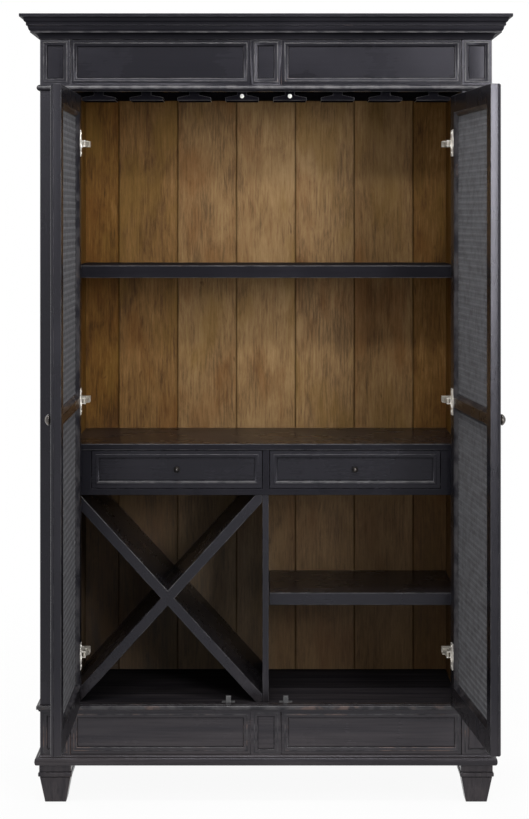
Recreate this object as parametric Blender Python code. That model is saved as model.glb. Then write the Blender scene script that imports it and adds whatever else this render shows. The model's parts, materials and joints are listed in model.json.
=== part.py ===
"""Display cabinet: mesh doors on cup hinges, drawers, a bottle rack and a stemware rack.

Metres, +Z up, the front faces -Y. The origin is on the floor, in the middle of the space
that the cabinet takes up with its doors open, as it is modelled here.
"""

import math

import bmesh
import bpy
from mathutils import Matrix, Vector

# Clearances
FIT = 0.0003  # between two pieces that touch
DOOR_GAP = 0.003  # round each door, and between the two doors
DOOR_HEAD_GAP = 0.012  # from the doorway's head down to the doors
DRAWER_GAP = 0.0015  # round each drawer front in its opening
LINK_PLAY = 0.0005  # between a hinge link and the plates on both sides of it
BUMPER_PLAY = 0.0004  # between a shut door and what it shuts against

# Case
BODY_WIDTH = 1.136
CASE_DEPTH = 0.450
POST_WIDTH = 0.076
POST_DEPTH = 0.040
SIDE_THICK = 0.019
LINER_THICK = 0.016
BACK_THICK = 0.013
RAIL_THICK = 0.022
BLOCK_PROUD = 0.003  # how far the centre blocks stand in front of the rails

# Heights, from the floor up
FOOT_HEIGHT = 0.0965
BASE_FRAME_HEIGHT = 0.0195
BASE_RAIL_HEIGHT = 0.131
DOORWAY_HEIGHT = 1.542
FRIEZE_HEIGHT = 0.131
CROWN_HEIGHT = 0.061

# Crown: a fascia, an ogee, a band, a round, a fillet and a cove, from the top down
CROWN_REACH = 0.0475
CROWN_FASCIA = 0.008
CROWN_STEP = 0.004  # how far each member is set back from the one above
CROWN_OGEE_REACH = 0.0115
CROWN_OGEE_HEIGHT = 0.0125
CROWN_BAND = 0.008
CROWN_ROUND_REACH = 0.0055
CROWN_ROUND_HEIGHT = 0.013
CROWN_FILLET = 0.0045
CROWN_FOOT_REACH = 0.002
CROWN_WALL = 0.030
CROWN_BOARD = 0.018

# Bead under the frieze, cap over the base rail, and base moulding
BEAD_REACH = 0.008
BEAD_HEIGHT = 0.016
BEAD_RISE = 0.001  # from the doorway up to the bead
CAP_REACH = 0.009
CAP_HEIGHT = 0.016
CAP_NOSE_RADIUS = 0.004
CAP_NOSE_HEIGHT = 0.010
CAP_FOOT_REACH = 0.003
BASE_REACH = 0.013
BASE_LIP = 0.006  # how far the base moulding climbs up the case
BASE_LIP_REACH = 0.0016
BASE_SHOULDER_REACH = 0.009
BASE_FOOT_REACH = 0.008
BASE_FRAME_WIDTH = 0.085

# Recessed fields in the rails and posts
FIELD_DEPTH = 0.005
FIELD_MARGIN = 0.0125  # from a long field to the block or post beside it
CENTRE_BLOCK_WIDTH = 0.079
BLOCK_FIELD_WIDTH = 0.050
BLOCK_FIELD_HEIGHT = 0.092
FRIEZE_FIELD_HEIGHT = 0.088
BASE_FIELD_HEIGHT = 0.083

# Feet
FOOT_COLLAR_WIDTH = 0.080
FOOT_BEAD_WIDTH = 0.085
FOOT_TOP_WIDTH = 0.078
FOOT_TOE_WIDTH = 0.053
FOOT_COLLAR_HEIGHT = 0.0185
FOOT_BEAD_HEIGHT = 0.011
FOOT_INSET = 0.038  # from the case's faces to the foot's middle

# Inside
FLOOR_DROP = 0.010  # from the base rail's top down to the floor panel
FLOOR_THICK = 0.018
LOWER_BAY_HEIGHT = 0.529
RUNNER_THICK = 0.016
DRAWER_OPENING_HEIGHT = 0.0985
DECK_THICK = 0.016
DECK_SETBACK = 0.057
PARTITION_THICK = 0.016
PARTITION_OFFSET = -0.001
PARTITION_SETBACK = 0.066
RACK_BOARD_THICK = 0.026
RACK_SETBACK = 0.068
BOARD_WIDTH = 0.161  # of the boards in the back panel
GROOVE_WIDTH = 0.004
GROOVE_DEPTH = 0.0025

# Loose shelves and their pins
SHELF_THICK = 0.032
SHELF_SETBACK = 0.114
SHELF_SIDE_GAP = 0.0012
UPPER_SHELF_RISE = 0.420  # from the deck to the shelf's underside
LOWER_SHELF_RISE = 0.238  # from the floor panel to the shelf's underside
SHELF_PIN_RADIUS = 0.004
SHELF_PIN_LENGTH = 0.010
SHELF_PIN_INSET = 0.045  # from the shelf's front and back edges

# Drawers
FACE_FRAME_SETBACK = 0.060
FACE_FRAME_THICK = 0.020
SIDE_STILE_WIDTH = 0.047
MIDDLE_STILE_WIDTH = 0.017
DRAWER_FRONT_THICK = 0.019
DRAWER_FIELD_MARGIN = 0.015
DRAWER_FIELD_DEPTH = 0.004
DRAWER_BACK_GAP = 0.038  # from the drawer box to the back panel
DRAWER_WALL = 0.012
DRAWER_BOTTOM = 0.008
DRAWER_SIDE_GAP = 0.0075  # from the drawer box to the stiles
DRAWER_BOX_DROP = 0.015  # from the deck's underside to the box's rim
DRAWER_KNOB_RADIUS = 0.008
DRAWER_KNOB_REACH = 0.018

# Stemware rack
CEILING_RISE = 0.001  # from the doorway's top up to the ceiling
CEILING_THICK = 0.015
RACK_RAIL_PITCH = 0.121
RACK_STEM_WIDTH = 0.025
RACK_STEM_HEIGHT = 0.008
RACK_FLANGE_WIDTH = 0.085
RACK_FLANGE_HEIGHT = 0.014
RACK_FLANGE_EDGE = 0.008
STEMWARE_SETBACK = 0.030
RACK_RAIL_DEPTH = 0.085

# Bumpers and catches behind the doors
BUMPER_RADIUS = 0.0055
CATCH_BASE_WIDTH = 0.033
CATCH_BASE_DEPTH = 0.020
CATCH_BASE_HEIGHT = 0.0095
CATCH_POST_WIDTH = 0.013
CATCH_POST_DEPTH = 0.010
CATCH_POST_HEIGHT = 0.016
LEFT_CATCH_OFFSET = 0.095
RIGHT_CATCH_OFFSET = 0.050

# Doors
DOOR_THICK = 0.025
STILE_WIDTH = 0.052
TOP_RAIL_WIDTH = 0.054
MIDDLE_RAIL_WIDTH = 0.045
BOTTOM_RAIL_WIDTH = 0.061
MIDDLE_RAIL_RISE = 0.739  # from the door's foot to the middle rail
DOOR_CHAMFER = 0.010  # round the panels, on the inner face
MESH_THICK = 0.002
MESH_LAP = 0.005  # how far a mesh panel reaches into the frame
MESH_BAR = 0.008  # width of the bars of the plain grid that stands for the mesh
MESH_CELLS_ACROSS = 7
MESH_CELLS_UP = 12
DOOR_KNOB_RADIUS = 0.013
DOOR_KNOB_REACH = 0.015
LEFT_DOOR_ANGLE = math.radians(90.0)  # how far the doors stand open
RIGHT_DOOR_ANGLE = math.radians(95.3)

# A knob from its foot to its brim, in shares of its radius and of its reach
KNOB_OUTLINE = ((0.74, 0.0), (0.74, 0.06), (0.62, 0.15), (0.88, 0.29), (1.0, 0.43))

# Cup hinges: u runs along the door from its hinge edge, v from its outer face inwards
LOWER_HINGE_RISE = 0.1246  # from the door's foot
UPPER_HINGE_DROP = 0.119  # from the door's head
CUP_RADIUS = 0.0175
CUP_WALL = 0.002
CUP_DEPTH = 0.0115
CUP_BACKSET = 0.022  # from the hinge edge to the cup's middle
FLANGE_THICK = 0.0015
FLANGE_HEIGHT = 0.066
FLANGE_WAIST = 0.018
FLANGE_WING = 0.024
FLANGE_WIDTH = 0.041
PLATE_THICK = 0.002
LINK_HEIGHT = 0.010
LINK_HALF_WIDTH = 0.0035
LINK_LENGTH = 0.033
HINGE_PIN_RADIUS = 0.0015
CUP_PIN_U = 0.0035
CUP_PIN_RISE = 0.0076  # from the door's inner face
ARM_PIN_U = 0.035
ARM_PIN_RISE = 0.007
ARM_CHEEK_HALF = 0.008  # half the width of the arm's cheeks
ARM_CHEEK_NOSE = 0.0045  # from the arm's pin to the cheeks' front edge
ARM_WEB_SETBACK = 0.017  # from the arm's pin to the web that joins the cheeks
ARM_WEB_THICK = 0.012
ARM_FOOT_LENGTH = 0.050
ARM_FOOT_HEIGHT = 0.036
ARM_FOOT_THICK = 0.0025
RIVET_RADIUS = 0.003
RIVET_HEIGHT = 0.0008
LINK_SPAN = math.radians(96.0)  # a link points straight at the arm's pin at both ends of this

# Facets
ROUND_STEPS = 24
SMALL_STEPS = 12
CURVE_STEPS = 4

# Finishes: colour, roughness, metallic
BLACK_PAINT = ((0.026, 0.025, 0.029), 0.42, 0.0)
STAINED_WOOD = ((0.098, 0.049, 0.015), 0.50, 0.0)
BLACK_METAL = ((0.018, 0.018, 0.020), 0.35, 0.8)
NICKEL = ((0.62, 0.60, 0.57), 0.28, 1.0)
WIRE = ((0.22, 0.22, 0.23), 0.40, 1.0)
WHITE_NYLON = ((0.80, 0.80, 0.78), 0.50, 0.0)
GREY_PLASTIC = ((0.25, 0.25, 0.25), 0.50, 0.0)

# Places worked out from the sizes
HALF_BODY = BODY_WIDTH / 2
HALF_INSIDE = HALF_BODY - POST_WIDTH
DOOR_WIDTH = HALF_INSIDE - 1.5 * DOOR_GAP
OPEN_REACH = max(
    DOOR_WIDTH * math.sin(angle) - DOOR_THICK * min(0.0, math.cos(angle))
    for angle in (LEFT_DOOR_ANGLE, RIGHT_DOOR_ANGLE)
)
FRONT = (OPEN_REACH - CASE_DEPTH) / 2
REAR = FRONT + CASE_DEPTH
BACK_FACE = REAR - BACK_THICK
RAIL_FACE = FRONT + BLOCK_PROUD
RAIL_BACK = RAIL_FACE + RAIL_THICK
BASE_FRAME_TOP = FOOT_HEIGHT + BASE_FRAME_HEIGHT
BASE_RAIL_TOP = BASE_FRAME_TOP + BASE_RAIL_HEIGHT
DOORWAY_TOP = BASE_RAIL_TOP + DOORWAY_HEIGHT
CASE_TOP = DOORWAY_TOP + FRIEZE_HEIGHT
TOP = CASE_TOP + CROWN_HEIGHT
BEAD_LOW = DOORWAY_TOP + BEAD_RISE
BEAD_HIGH = BEAD_LOW + BEAD_HEIGHT
CAP_LOW = BASE_RAIL_TOP - CAP_HEIGHT
FRIEZE_MIDDLE = (BEAD_HIGH + CASE_TOP) / 2
BASE_MIDDLE = (BASE_FRAME_TOP + BASE_LIP + CAP_LOW) / 2
POST_MIDDLE = HALF_INSIDE + POST_WIDTH / 2
FLOOR_TOP = BASE_RAIL_TOP - FLOOR_DROP
RUNNER_LOW = FLOOR_TOP + LOWER_BAY_HEIGHT
RUNNER_TOP = RUNNER_LOW + RUNNER_THICK
DECK_LOW = RUNNER_TOP + DRAWER_OPENING_HEIGHT
DECK_TOP = DECK_LOW + DECK_THICK
UPPER_SHELF_LOW = DECK_TOP + UPPER_SHELF_RISE
LOWER_SHELF_LOW = FLOOR_TOP + LOWER_SHELF_RISE
CEILING = DOORWAY_TOP + CEILING_RISE
PARTITION_LEFT = PARTITION_OFFSET - PARTITION_THICK / 2
PARTITION_RIGHT = PARTITION_OFFSET + PARTITION_THICK / 2
PARTITION_FACE = FRONT + PARTITION_SETBACK
SHELF_FACE = FRONT + SHELF_SETBACK
SHELF_BACK = BACK_FACE - SHELF_SIDE_GAP
FACE_FRAME_FACE = FRONT + FACE_FRAME_SETBACK
FACE_FRAME_BACK = FACE_FRAME_FACE + FACE_FRAME_THICK
OPENING_INNER = MIDDLE_STILE_WIDTH / 2
OPENING_OUTER = HALF_INSIDE - SIDE_STILE_WIDTH
DRAWER_MIDDLE = (OPENING_INNER + OPENING_OUTER) / 2
STEMWARE_FACE = FRONT + STEMWARE_SETBACK
FLANGE_LOW = CEILING - RACK_STEM_HEIGHT - RACK_FLANGE_HEIGHT
SHUT_FACE = FRONT + DOOR_THICK + BUMPER_PLAY
DOOR_FOOT = BASE_RAIL_TOP + DOOR_GAP
DOOR_HEAD = DOORWAY_TOP - DOOR_HEAD_GAP
MIDDLE_RAIL_LOW = DOOR_FOOT + MIDDLE_RAIL_RISE
MIDDLE_RAIL_HIGH = MIDDLE_RAIL_LOW + MIDDLE_RAIL_WIDTH
MIDDLE_RAIL_MIDDLE = (MIDDLE_RAIL_LOW + MIDDLE_RAIL_HIGH) / 2
HINGE_HEIGHTS = {
    "lower": DOOR_FOOT + LOWER_HINGE_RISE,
    "middle": MIDDLE_RAIL_MIDDLE,
    "upper": DOOR_HEAD - UPPER_HINGE_DROP,
}
HINGE_X = HALF_INSIDE - DOOR_GAP
CUP_PIN_V = DOOR_THICK + CUP_PIN_RISE
ARM_PIN_V = DOOR_THICK + ARM_PIN_RISE
PLATE_INSIDE = LINK_HEIGHT / 2 + LINK_PLAY
PLATE_OUTSIDE = PLATE_INSIDE + PLATE_THICK

LEFT = -1
RIGHT = 1
SIDES = {"left": LEFT, "right": RIGHT}


# Shapes

def add_box(bm, low, high):
    """Add a closed box between two corners."""
    low = Vector(low)
    high = Vector(high)
    made = bmesh.ops.create_cube(bm, size=1.0)
    bmesh.ops.scale(bm, vec=high - low, verts=made["verts"])
    bmesh.ops.translate(bm, vec=(low + high) / 2, verts=made["verts"])


def box(low, high):
    """Return a closed box between two corners, given in any order."""
    bm = bmesh.new()
    pairs = list(zip(low, high))
    add_box(bm, [min(pair) for pair in pairs], [max(pair) for pair in pairs])
    return bm


def skin(rings, closed=False):
    """Join rings of equal length into a solid, capped unless the rings close on themselves."""
    bm = bmesh.new()
    rows = [[bm.verts.new(point) for point in ring] for ring in rings]
    following = rows[1:] + rows[:1] if closed else rows[1:]
    count = len(rows[0])
    for row, after in zip(rows, following):
        for index in range(count):
            step = (index + 1) % count
            bm.faces.new((row[index], row[step], after[step], after[index]))
    if not closed:
        bm.faces.new(rows[0])
        bm.faces.new(rows[-1])
    return bm


def prism_along_y(outline, low, high):
    """Extrude an outline of (x, z) points between two depths."""
    return skin([[(x, y, z) for x, z in outline] for y in (low, high)])


def prism_along_z(outline, low, high):
    """Extrude an outline of (x, y) points between two heights."""
    return skin([[(x, y, z) for x, y in outline] for z in (low, high)])


def circle(centre, radius, steps):
    """Return the points of a circle in a plane."""
    turns = [2 * math.pi * index / steps for index in range(steps)]
    return [(centre[0] + radius * math.cos(t), centre[1] + radius * math.sin(t)) for t in turns]


def turned(profile, steps):
    """Turn a profile of (radius, y) points, which starts and ends on the axis, about the Y axis."""
    bm = bmesh.new()
    points = [bm.verts.new((radius, y, 0.0)) for radius, y in profile]
    edges = [bm.edges.new(pair) for pair in zip(points, points[1:])]
    bmesh.ops.spin(
        bm,
        geom=points + edges,
        cent=(0.0, 0.0, 0.0),
        axis=(0.0, 1.0, 0.0),
        angle=2 * math.pi,
        steps=steps,
        use_merge=True,
    )
    bmesh.ops.remove_doubles(bm, verts=bm.verts, dist=1e-6)
    return bm


def arc(start, end, upright):
    """Return points on a quarter ellipse that leaves start upright or level, and ends at end."""
    width = end[0] - start[0]
    height = end[1] - start[1]
    points = []
    for index in range(1, CURVE_STEPS + 1):
        turn = math.pi / 2 * index / CURVE_STEPS
        fast = math.sin(turn)
        slow = 1 - math.cos(turn)
        across, along = (slow, fast) if upright else (fast, slow)
        points.append((start[0] + width * across, start[1] + height * along))
    return points


def half_round(reach, low, high):
    """Return the outline of a bead of (reach, z) points, flat against the case."""
    middle = (low + high) / 2
    nose = (reach, middle)
    upper = [(reach - (reach - FIT) * (1 - math.sin(t)), middle + (high - middle) * math.cos(t))
             for t in [math.pi / 2 * index / CURVE_STEPS for index in range(CURVE_STEPS)]]
    lower = [(across, 2 * middle - z) for across, z in reversed(upper)]
    return upper + [nose] + lower


def moulding_run(profile):
    """Carry a moulding of (reach, z) points round the front and both sides of the case."""
    corners = (
        (-HALF_BODY, REAR, -1, 0),
        (-HALF_BODY, FRONT, -1, -1),
        (HALF_BODY, FRONT, 1, -1),
        (HALF_BODY, REAR, 1, 0),
    )
    return skin([[(x + out * reach, y + ahead * reach, z) for reach, z in profile]
                 for x, y, out, ahead in corners])


def case_ring(reach, z):
    """Return a ring that stands off the front and sides of the case, level with its back."""
    side = HALF_BODY + reach
    ahead = FRONT - reach
    return [(-side, REAR, z), (-side, ahead, z), (side, ahead, z), (side, REAR, z)]


def inner_ring(inset, z):
    """Return a ring that stands inside all four faces of the case."""
    side = HALF_BODY - inset
    return [
        (-side, REAR - inset, z),
        (-side, FRONT + inset, z),
        (side, FRONT + inset, z),
        (side, REAR - inset, z),
    ]


def field(middle_x, middle_z, width, height, face, depth):
    """Return a cutter for a recessed field whose edges slope down to its floor."""
    rings = []
    for y, grow in ((face - depth, depth), (face, 0.0), (face + depth, -depth)):
        half = width / 2 + grow
        tall = height / 2 + grow
        rings.append([
            (middle_x - half, y, middle_z - tall),
            (middle_x + half, y, middle_z - tall),
            (middle_x + half, y, middle_z + tall),
            (middle_x - half, y, middle_z + tall),
        ])
    return skin(rings)


# Objects

def finish_material(name, finish):
    """Make a piece's own material."""
    colour, roughness, metallic = finish
    material = bpy.data.materials.new(name)
    material.use_nodes = True
    shader = material.node_tree.nodes["Principled BSDF"]
    shader.inputs["Base Color"].default_value = (*colour, 1.0)
    shader.inputs["Roughness"].default_value = roughness
    shader.inputs["Metallic"].default_value = metallic
    return material


def mesh_object(name, bm):
    """Put a shape into the scene, with its faces pointing outwards."""
    bmesh.ops.recalc_face_normals(bm, faces=bm.faces)
    mesh = bpy.data.meshes.new(name)
    bm.to_mesh(mesh)
    bm.free()
    thing = bpy.data.objects.new(name, mesh)
    bpy.context.collection.objects.link(thing)
    return thing


def merge(thing, bm, operation):
    """Unite a shape with an object, or take it away."""
    other = mesh_object("shape", bm)
    change = thing.modifiers.new(operation, "BOOLEAN")
    change.operation = operation
    change.solver = "EXACT"
    change.object = other
    graph = bpy.context.evaluated_depsgraph_get()
    before = thing.data
    thing.data = bpy.data.meshes.new_from_object(thing.evaluated_get(graph))
    thing.modifiers.clear()
    tool = other.data
    bpy.data.objects.remove(other)
    bpy.data.meshes.remove(tool)
    bpy.data.meshes.remove(before)


def piece(name, finish, shapes, cuts=(), parent=None, smooth=False):
    """Make one piece from closed shapes that overlap, less its cuts."""
    thing = mesh_object(name, shapes[0])
    for shape in shapes[1:]:
        merge(thing, shape, "UNION")
    for cut in cuts:
        merge(thing, cut, "DIFFERENCE")
    thing.data.name = name
    thing.data.materials.clear()
    thing.data.materials.append(finish_material(name, finish))
    if smooth:
        thing.data.shade_smooth()
        thing.data.set_sharp_from_angle(angle=math.radians(35.0))
    thing.parent = parent
    return thing


def pivot(name, location, turn, parent=None):
    """Make an empty on a joint's axis."""
    empty = bpy.data.objects.new(name, None)
    bpy.context.collection.objects.link(empty)
    empty.parent = parent
    empty.location = location
    empty.rotation_euler = (0.0, 0.0, turn)
    return empty


# Case

def make_posts():
    for word, side in SIDES.items():
        fields = [
            field(side * POST_MIDDLE, middle, BLOCK_FIELD_WIDTH, BLOCK_FIELD_HEIGHT, FRONT, FIELD_DEPTH)
            for middle in (FRIEZE_MIDDLE, BASE_MIDDLE)
        ]
        body = box(
            (side * HALF_INSIDE, FRONT, BASE_FRAME_TOP + FIT),
            (side * HALF_BODY, FRONT + POST_DEPTH, CASE_TOP - FIT),
        )
        piece(f"{word}_front_post", BLACK_PAINT, [body], fields)


def make_sides_and_back():
    low = BASE_FRAME_TOP + FIT
    high = CASE_TOP - FIT
    behind_post = FRONT + POST_DEPTH + FIT
    side_inner = HALF_BODY - SIDE_THICK
    for word, side in SIDES.items():
        outer = box((side * side_inner, behind_post, low), (side * HALF_BODY, REAR, high))
        piece(f"{word}_outer_side", BLACK_PAINT, [outer])
        liner = box(
            (side * HALF_INSIDE, behind_post, low),
            (side * (HALF_INSIDE + LINER_THICK), BACK_FACE - FIT, high),
        )
        shelves = [UPPER_SHELF_LOW] if side == LEFT else [UPPER_SHELF_LOW, LOWER_SHELF_LOW]
        pins = [shelf_pin(side * HALF_INSIDE, -side, y, shelf) for shelf in shelves for y in pin_depths()]
        piece(f"{word}_inner_side", STAINED_WOOD, [liner] + pins)
    edge = side_inner - FIT
    outline = [(edge, REAR), (-edge, REAR), (-edge, BACK_FACE)]
    boards = int(edge / BOARD_WIDTH - 0.5)
    for index in range(-boards - 1, boards + 1):
        middle = (index + 0.5) * BOARD_WIDTH
        outline += [
            (middle - GROOVE_WIDTH / 2, BACK_FACE),
            (middle, BACK_FACE + GROOVE_DEPTH),
            (middle + GROOVE_WIDTH / 2, BACK_FACE),
        ]
    outline.append((edge, BACK_FACE))
    piece("back_panel", STAINED_WOOD, [prism_along_z(outline, low, high)])


def pin_depths():
    """Return how far back the pins stand under a shelf."""
    return (SHELF_FACE + SHELF_PIN_INSET, SHELF_BACK - SHELF_PIN_INSET)


def shelf_pin(wall, way, y, shelf):
    """Return a pin that stands out of a wall, just under a shelf."""
    middle = (y, shelf - FIT - SHELF_PIN_RADIUS)
    ring = circle(middle, SHELF_PIN_RADIUS, SMALL_STEPS)
    root = wall - way * SHELF_PIN_LENGTH / 2
    tip = wall + way * SHELF_PIN_LENGTH
    return skin([[(x, depth, z) for depth, z in ring] for x in (root, tip)])


def make_crown():
    ogee_top = (CROWN_REACH - CROWN_STEP, TOP - CROWN_FASCIA)
    ogee_foot = (ogee_top[0] - CROWN_OGEE_REACH, ogee_top[1] - CROWN_OGEE_HEIGHT)
    ogee_middle = ((ogee_top[0] + ogee_foot[0]) / 2, (ogee_top[1] + ogee_foot[1]) / 2)
    band_low = ogee_foot[1] - CROWN_BAND
    round_top = (ogee_foot[0] - CROWN_STEP, band_low)
    round_foot = (round_top[0] - CROWN_ROUND_REACH, band_low - CROWN_ROUND_HEIGHT)
    fillet_low = round_foot[1] - CROWN_FILLET
    cove_top = (round_foot[0] - CROWN_STEP / 2, fillet_low)
    cove_foot = (CROWN_FOOT_REACH, CASE_TOP + FIT)
    profile = [(CROWN_REACH, TOP), (CROWN_REACH, TOP - CROWN_FASCIA), ogee_top]
    profile += arc(ogee_top, ogee_middle, upright=False)
    profile += arc(ogee_middle, ogee_foot, upright=True)
    profile += [(ogee_foot[0], band_low), round_top]
    profile += arc(round_top, round_foot, upright=True)
    profile += [(round_foot[0], fillet_low), cove_top]
    profile += arc(cove_top, cove_foot, upright=False)
    rings = [case_ring(reach, z) for reach, z in profile]
    rings.append(inner_ring(CROWN_WALL, CASE_TOP + FIT))
    rings.append(inner_ring(CROWN_WALL, TOP - CROWN_BOARD))
    piece("crown", BLACK_PAINT, [skin(rings)])


def rail_shapes(low, high):
    """Return a rail between the posts and the block at its middle."""
    end = HALF_INSIDE - FIT
    half_block = CENTRE_BLOCK_WIDTH / 2
    inside = RAIL_THICK / 2
    return [
        box((-end, RAIL_FACE, low), (end, RAIL_BACK, high)),
        box((-half_block, FRONT, low), (half_block, RAIL_FACE + inside, high)),
    ]


def rail_fields(middle, height):
    """Return the cutters for a rail's two long fields and the field in its block."""
    inner = CENTRE_BLOCK_WIDTH / 2 + FIELD_MARGIN
    outer = HALF_INSIDE - FIELD_MARGIN
    cuts = [
        field(side * (inner + outer) / 2, middle, outer - inner, height, RAIL_FACE, FIELD_DEPTH)
        for side in SIDES.values()
    ]
    cuts.append(field(0.0, middle, BLOCK_FIELD_WIDTH, BLOCK_FIELD_HEIGHT, FRONT, FIELD_DEPTH))
    return cuts


def moulding_root(reach, low, high):
    """Return the strip that holds a moulding to the rail behind it."""
    end = HALF_INSIDE - FIT
    return box((-end, FRONT - reach / 2, low), (end, RAIL_FACE + RAIL_THICK / 2, high))


def make_frieze_rail():
    quarter = BEAD_HEIGHT / 4
    shapes = rail_shapes(DOORWAY_TOP, CASE_TOP - FIT)
    shapes.append(moulding_root(BEAD_REACH, BEAD_LOW + quarter, BEAD_HIGH - quarter))
    shapes.append(moulding_run(half_round(BEAD_REACH, BEAD_LOW, BEAD_HIGH)))
    piece("frieze_rail", BLACK_PAINT, shapes, rail_fields(FRIEZE_MIDDLE, FRIEZE_FIELD_HEIGHT))


def make_base_rail():
    nose_top = (CAP_REACH - CAP_NOSE_RADIUS, BASE_RAIL_TOP)
    nose_foot = (CAP_REACH, BASE_RAIL_TOP - CAP_NOSE_HEIGHT)
    profile = [(FIT, BASE_RAIL_TOP), nose_top]
    profile += arc(nose_top, (CAP_REACH, BASE_RAIL_TOP - CAP_NOSE_RADIUS), upright=False)
    profile += [nose_foot]
    profile += arc(nose_foot, (CAP_FOOT_REACH, CAP_LOW), upright=False)
    profile += [(FIT, CAP_LOW)]
    quarter = CAP_HEIGHT / 4
    shapes = rail_shapes(BASE_FRAME_TOP + FIT, BASE_RAIL_TOP)
    shapes.append(moulding_root(CAP_REACH, CAP_LOW + quarter, BASE_RAIL_TOP - quarter))
    shapes.append(moulding_run(profile))
    piece("base_rail", BLACK_PAINT, shapes, rail_fields(BASE_MIDDLE, BASE_FIELD_HEIGHT))


def make_base_moulding():
    low = FOOT_HEIGHT
    high = BASE_FRAME_TOP
    lip = (BASE_LIP_REACH, high + BASE_LIP)
    shoulder = (BASE_SHOULDER_REACH, high)
    nose = (BASE_REACH, (low + high) / 2)
    profile = [(FIT, high + BASE_LIP), lip]
    profile += arc(lip, shoulder, upright=True)
    profile += arc(shoulder, nose, upright=False)
    profile += arc(nose, (BASE_FOOT_REACH, low), upright=True)
    rings = [case_ring(reach, z) for reach, z in profile]
    rings.append(inner_ring(BASE_FRAME_WIDTH, low))
    rings.append(inner_ring(BASE_FRAME_WIDTH, high))
    rings.append(case_ring(FIT, high))
    piece("base_moulding", BLACK_PAINT, [skin(rings, closed=True)])


def make_feet():
    top = FOOT_HEIGHT - FIT
    collar_low = FOOT_HEIGHT - FOOT_COLLAR_HEIGHT
    bead_low = collar_low - FOOT_BEAD_HEIGHT
    soft = FOOT_BEAD_HEIGHT / 4
    steps = (
        (FOOT_COLLAR_WIDTH, top),
        (FOOT_COLLAR_WIDTH, collar_low),
        (FOOT_BEAD_WIDTH - soft, collar_low),
        (FOOT_BEAD_WIDTH, collar_low - soft),
        (FOOT_BEAD_WIDTH, bead_low + soft),
        (FOOT_BEAD_WIDTH - soft, bead_low),
        (FOOT_TOP_WIDTH, bead_low),
        (FOOT_TOE_WIDTH, 0.0),
    )
    rows = {"front": FRONT + FOOT_INSET, "rear": REAR - FOOT_BEAD_WIDTH / 2}
    for row, y in rows.items():
        for word, side in SIDES.items():
            x = side * (HALF_BODY - FOOT_INSET)
            rings = [
                [(x - w / 2, y - w / 2, z), (x + w / 2, y - w / 2, z),
                 (x + w / 2, y + w / 2, z), (x - w / 2, y + w / 2, z)]
                for w, z in steps
            ]
            piece(f"{row}_{word}_foot", BLACK_PAINT, [skin(rings)])


# Inside

def make_inside_boards():
    end = HALF_INSIDE - FIT
    back = BACK_FACE - FIT
    floor = box((-end, RAIL_BACK + FIT, FLOOR_TOP - FLOOR_THICK), (end, back, FLOOR_TOP))
    piece("floor_panel", BLACK_PAINT, [floor])
    deck = box((-end, FRONT + DECK_SETBACK, DECK_LOW), (end, back, DECK_TOP))
    piece("mid_deck", BLACK_PAINT, [deck])
    runner = box((-end, FACE_FRAME_BACK + FIT, RUNNER_LOW), (end, back, RUNNER_TOP))
    piece("drawer_runner_panel", BLACK_PAINT, [runner])
    partition = box(
        (PARTITION_LEFT, PARTITION_FACE, FLOOR_TOP + FIT),
        (PARTITION_RIGHT, back, RUNNER_LOW - FIT),
    )
    pins = [shelf_pin(PARTITION_RIGHT, 1, y, LOWER_SHELF_LOW) for y in pin_depths()]
    piece("lower_partition", BLACK_PAINT, [partition] + pins)


def make_bottle_rack():
    left = -HALF_INSIDE + FIT
    right = PARTITION_LEFT - FIT
    low = FLOOR_TOP + FIT
    high = RUNNER_LOW - FIT
    width = right - left
    height = high - low
    slant = math.hypot(width, height)
    across = RACK_BOARD_THICK / 2 * slant / height
    along = RACK_BOARD_THICK / 2 * slant / width
    rising = [
        (left, low), (left + across, low), (right, high - along),
        (right, high), (right - across, high), (left, low + along),
    ]
    falling = [(left + right - x, z) for x, z in rising]
    depths = (FRONT + RACK_SETBACK, BACK_FACE - FIT)
    boards = [prism_along_y(outline, *depths) for outline in (rising, falling)]
    piece("bottle_rack", BLACK_PAINT, boards)


def make_shelves():
    upper = box(
        (-HALF_INSIDE + SHELF_SIDE_GAP, SHELF_FACE, UPPER_SHELF_LOW),
        (HALF_INSIDE - SHELF_SIDE_GAP, SHELF_BACK, UPPER_SHELF_LOW + SHELF_THICK),
    )
    piece("upper_shelf", BLACK_PAINT, [upper])
    lower = box(
        (PARTITION_RIGHT + SHELF_SIDE_GAP, SHELF_FACE, LOWER_SHELF_LOW),
        (HALF_INSIDE - SHELF_SIDE_GAP, SHELF_BACK, LOWER_SHELF_LOW + SHELF_THICK),
    )
    piece("lower_shelf", BLACK_PAINT, [lower])


def make_stemware_rack():
    end = HALF_INSIDE - FIT
    half_stem = RACK_STEM_WIDTH / 2
    half_flange = RACK_FLANGE_WIDTH / 2
    shoulder = CEILING - RACK_STEM_HEIGHT
    inside = CEILING + CEILING_THICK / 2
    shapes = [box((-end, RAIL_BACK + FIT, CEILING), (end, BACK_FACE - FIT, CEILING + CEILING_THICK))]
    rails = int(HALF_INSIDE / RACK_RAIL_PITCH)
    for index in range(-rails, rails):
        middle = (index + 0.5) * RACK_RAIL_PITCH
        outline = [
            (middle - half_stem, inside),
            (middle - half_stem, shoulder),
            (middle - half_flange, FLANGE_LOW + RACK_FLANGE_EDGE),
            (middle - half_flange, FLANGE_LOW),
            (middle + half_flange, FLANGE_LOW),
            (middle + half_flange, FLANGE_LOW + RACK_FLANGE_EDGE),
            (middle + half_stem, shoulder),
            (middle + half_stem, inside),
        ]
        shapes.append(prism_along_y(outline, STEMWARE_FACE, STEMWARE_FACE + RACK_RAIL_DEPTH))
    piece("stemware_rack", BLACK_PAINT, shapes)


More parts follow.
